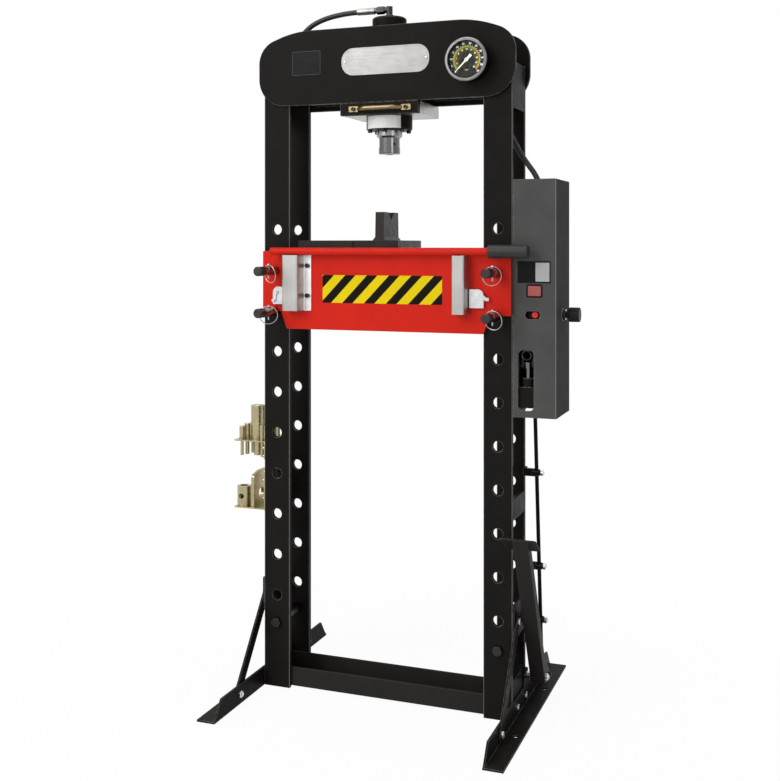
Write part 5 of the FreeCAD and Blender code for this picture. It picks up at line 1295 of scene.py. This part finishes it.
@dataclass
class Nuts:
    """Nuts of the push rod guides, gland nut of the release valve and neck of the elbow."""

    finishes: FinishBook
    # (where it sits along X, y, z)
    guide_seats: tuple[Triple, ...] = (
        (393.4, 42.88, 607.0),
        (393.4, 70.81, 358.0),
        (393.4, 87.07, 213.0),
        (352.0, 58.0, 607.0),
    )
    depth: float = 6.0
    corners: float = 16.5
    top_inset: float = 1.6
    dome: float = 2.6
    dome_share: float = 0.72  # width of the top of the dome against its foot
    dome_round: float = 0.5
    gland_at: Triple = (457.5, 4.0, 1020.0)
    gland_corners: float = 31.0
    gland_depth: float = 7.5
    gland_inset: float = 1.8
    gland_round: float = 0.6
    gland_bore: float = 13.2
    collar: float = 1.6
    collar_round: float = 0.4
    drill_at: float = 5.0  # middle of the drill, from the face of the cover
    drill_length: float = 30.0
    neck_at: Triple = (-47.5, 0.0, 1825.0)  # between the elbow and the ferrule of the hose
    neck_length: float = 6.0
    neck_diameter: float = 13.0
    neck_cuts: int = 2
    groove_reach: float = 1.5  # from the middle of the neck
    groove_share: float = 0.86
    edge_room: float = 0.1  # play of the tests that look for the edges of an end

    def cap_nut(self, name: str, seat: Triple) -> Piece:
        """A hexagon nut with a low dome that looks to the right.

        Args:
            name: name of the nut.
            seat: where it sits, in millimetres.

        Returns:
            The nut.
        """
        x, y, z = seat
        nut = Piece.round(
            name, (x + self.depth / 2, y, z), self.corners, self.depth, Axis.X, sides=6
        )
        nut.pick(Pick.FACES, lambda face: face.normal.x > FACING)
        nut.inset(self.top_inset).push((self.dome, 0.0, 0.0))
        nut.stretch(1.0, self.dome_share, self.dome_share)
        nut.pick(Pick.EDGES, past_x(x + self.depth - self.edge_room))
        return nut.bevel(self.dome_round, 3)

    def gland_nut(self) -> Piece:
        """The hexagon nut round the spindle, with a round collar against the cover.

        Returns:
            The nut and its collar as one piece.
        """
        x, y, z = self.gland_at
        middle = (x + self.collar + self.gland_depth / 2, y, z)
        hexagon = Piece.round(
            "gland_nut", middle, self.gland_corners, self.gland_depth, Axis.X, sides=6
        )
        hexagon.pick(Pick.FACES, lambda face: abs(face.normal.x) > FACING)
        hexagon.inset(self.gland_inset).pick(Pick.EDGES, lambda edge: runs_along(edge, 0))
        hexagon.bevel(self.gland_round)
        middle = (x + self.collar / 2, y, z)
        collar = Piece.round("gland_collar", middle, self.gland_corners, self.collar, Axis.X)
        collar.pick(Pick.EDGES, past_x(x + self.edge_room)).bevel(self.collar_round)
        middle = (x + self.drill_at, y, z)
        drill = Piece.round("gland_drill", middle, self.gland_bore, self.drill_length, Axis.X)
        for piece in (hexagon, collar):
            piece.modify("BOOLEAN", operation="DIFFERENCE", solver="EXACT", object=drill.object)
        bpy.data.objects.remove(drill.object)
        return hexagon.take_in((collar,), "gland_nut")

    def swivel_neck(self) -> Piece:
        """The turned neck between the elbow's hexagon and the ferrule, with a groove round it.

        Returns:
            The neck.
        """
        neck = Piece.round(
            "swivel_neck", self.neck_at, self.neck_diameter, self.neck_length, Axis.X
        )
        neck.pick(Pick.EDGES, lambda edge: runs_along(edge, 0))
        bpy.ops.mesh.subdivide(number_cuts=self.neck_cuts)
        middle, reach = self.neck_at[0] * MM, self.groove_reach * MM
        neck.pick(Pick.EDGES, lambda edge: all(abs(v.co.x - middle) < reach for v in edge.verts))
        return neck.stretch(1.0, self.groove_share, self.groove_share)

    def build(self) -> None:
        """Makes all nuts and the neck."""
        nuts = [
            self.cap_nut(f"guide_nut_{number}", seat)
            for number, seat in enumerate(self.guide_seats)
        ]
        whole = nuts[0].take_in(nuts[1:], "guide_nuts")
        whole.paint((self.finishes["bright_zinc"],)).finish("frame", "bright_zinc")
        gland = self.gland_nut()
        gland.paint((self.finishes["gland_steel"],)).finish("frame", "dark_steel")
        neck = self.swivel_neck()
        neck.paint((self.finishes["gland_steel"],)).finish("carriage", "dark_steel")


# ---- stage


@dataclass(frozen=True)
class Lamp:
    """A soft square lamp, in metres and watts."""

    name: str
    place: Triple
    aim: Triple
    size: float
    power: float
    mirrored: bool = True  # whether it shows in metal
    lights: bool = True  # whether it lights what isn't shiny

    def hang(self) -> None:
        """Adds the lamp to the scene."""
        data = bpy.data.lights.new(self.name, "AREA")
        data.shape = "SQUARE"
        data.size = self.size
        data.energy = self.power
        lamp = bpy.data.objects.new(self.name, data)
        lamp.location = self.place
        lamp.visible_glossy = self.mirrored
        lamp.visible_diffuse = self.lights
        way = Vector(self.aim) - Vector(self.place)
        lamp.rotation_euler = way.to_track_quat("-Z", "Y").to_euler()
        bpy.context.scene.collection.objects.link(lamp)


@dataclass
class Stage:
    """Camera, floor, lamps and surroundings, in metres."""

    camera_at: Triple = (1.052, -2.819, 1.196)
    camera_turn: float = 20.6
    lens: float = 51.9
    sensor: float = 36.0
    shift_y: float = -0.1863
    reach: float = 60.0  # how far the camera sees
    ambient: float = 0.36
    floor_size: float = 24.0
    floor_z: float = -0.0005
    floor_patch: float = 0.4
    floor_colours: tuple[Triple, Triple] = ((0.80, 0.80, 0.80), (0.84, 0.84, 0.84))
    floor_roughness: float = 0.9
    floor_specular: float = 0.1
    fade: Span = (0.4, 1.5)  # from the middle of the floor
    fade_share: Span = (0.95, 1.0)  # how far it is white there
    lamps: tuple[Lamp, ...] = (
        Lamp("key", (-1.9, -3.2, 3.1), (0.0, 0.0, 1.0), 2.2, 95.0),
        Lamp("low", (-1.0, -3.6, 0.9), (0.0, 0.0, 0.3), 2.0, 38.0, mirrored=False),
        Lamp("top", (0.0, -0.4, 4.0), (0.0, 0.0, 0.9), 2.4, 45.0),
        Lamp("glint", (2.6, -2.2, 1.9), (0.0, 0.0, 1.3), 0.7, 6.0, lights=False),
    )

    def camera(self) -> None:
        """Sets the camera where the photograph was taken."""
        data = bpy.data.cameras.new("camera")
        data.lens = self.lens
        data.sensor_width = self.sensor
        data.shift_y = self.shift_y
        data.clip_end = self.reach
        camera = bpy.data.objects.new("camera", data)
        camera.location = self.camera_at
        camera.rotation_euler = (math.pi / 2, 0.0, math.radians(self.camera_turn))
        bpy.context.scene.collection.objects.link(camera)
        bpy.context.scene.camera = camera

    def surroundings(self) -> None:
        """Sets a white background over plain soft light."""
        world = bpy.data.worlds.new("studio")
        world.use_nodes = True
        graph = Graph(world.node_tree, "ShaderNodeOutputWorld")
        soft, white = (
            graph.add("ShaderNodeBackground", {"Color": WHITE, "Strength": strength}).outputs[0]
            for strength in (self.ambient, 1.0)
        )
        graph.show_mix(graph.seen(), soft, white)
        bpy.context.scene.world = world

    def floor(self) -> None:
        """Lays a pale floor that fades into the white background."""
        Piece.deselect()
        bpy.ops.mesh.primitive_plane_add(size=self.floor_size, location=(0.0, 0.0, self.floor_z))
        plane = Piece("floor").object
        graph = SurfaceGraph("studio_floor")
        graph.start_shader(self.floor_specular)
        colour = graph.blend(graph.noise(self.floor_patch), *self.floor_colours)
        graph.fill(graph.shader, {"Base Color": colour, "Roughness": self.floor_roughness})
        far = graph.add("ShaderNodeVectorMath", {0: graph.place}, operation="LENGTH")
        share = graph.span(far.outputs["Value"], self.fade, self.fade_share)
        seen = graph.combine("MULTIPLY", share, graph.seen())
        glow = graph.add("ShaderNodeEmission")
        graph.show_mix(seen, graph.shader.outputs[0], glow.outputs[0])
        plane.data.materials.append(graph.material)

    def build(self) -> None:
        """Sets up everything that isn't part of the press, apart from the camera."""
        self.surroundings()
        self.floor()
        for lamp in self.lamps:
            lamp.hang()
        bpy.context.scene.view_settings.view_transform = "Standard"


def main() -> None:
    """Dresses the press and sets its stage."""
    logging.basicConfig(level=logging.INFO, format="%(name)s: %(message)s")
    finishes = FinishBook()
    stage = Stage()
    stage.camera()
    Hose(finishes).build()
    finishes.dress_nodes()
    Plates(finishes).build()
    GaugeFace(finishes).build()
    Nuts(finishes).build()
    stage.build()
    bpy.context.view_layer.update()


if __name__ == "__main__":
    main()
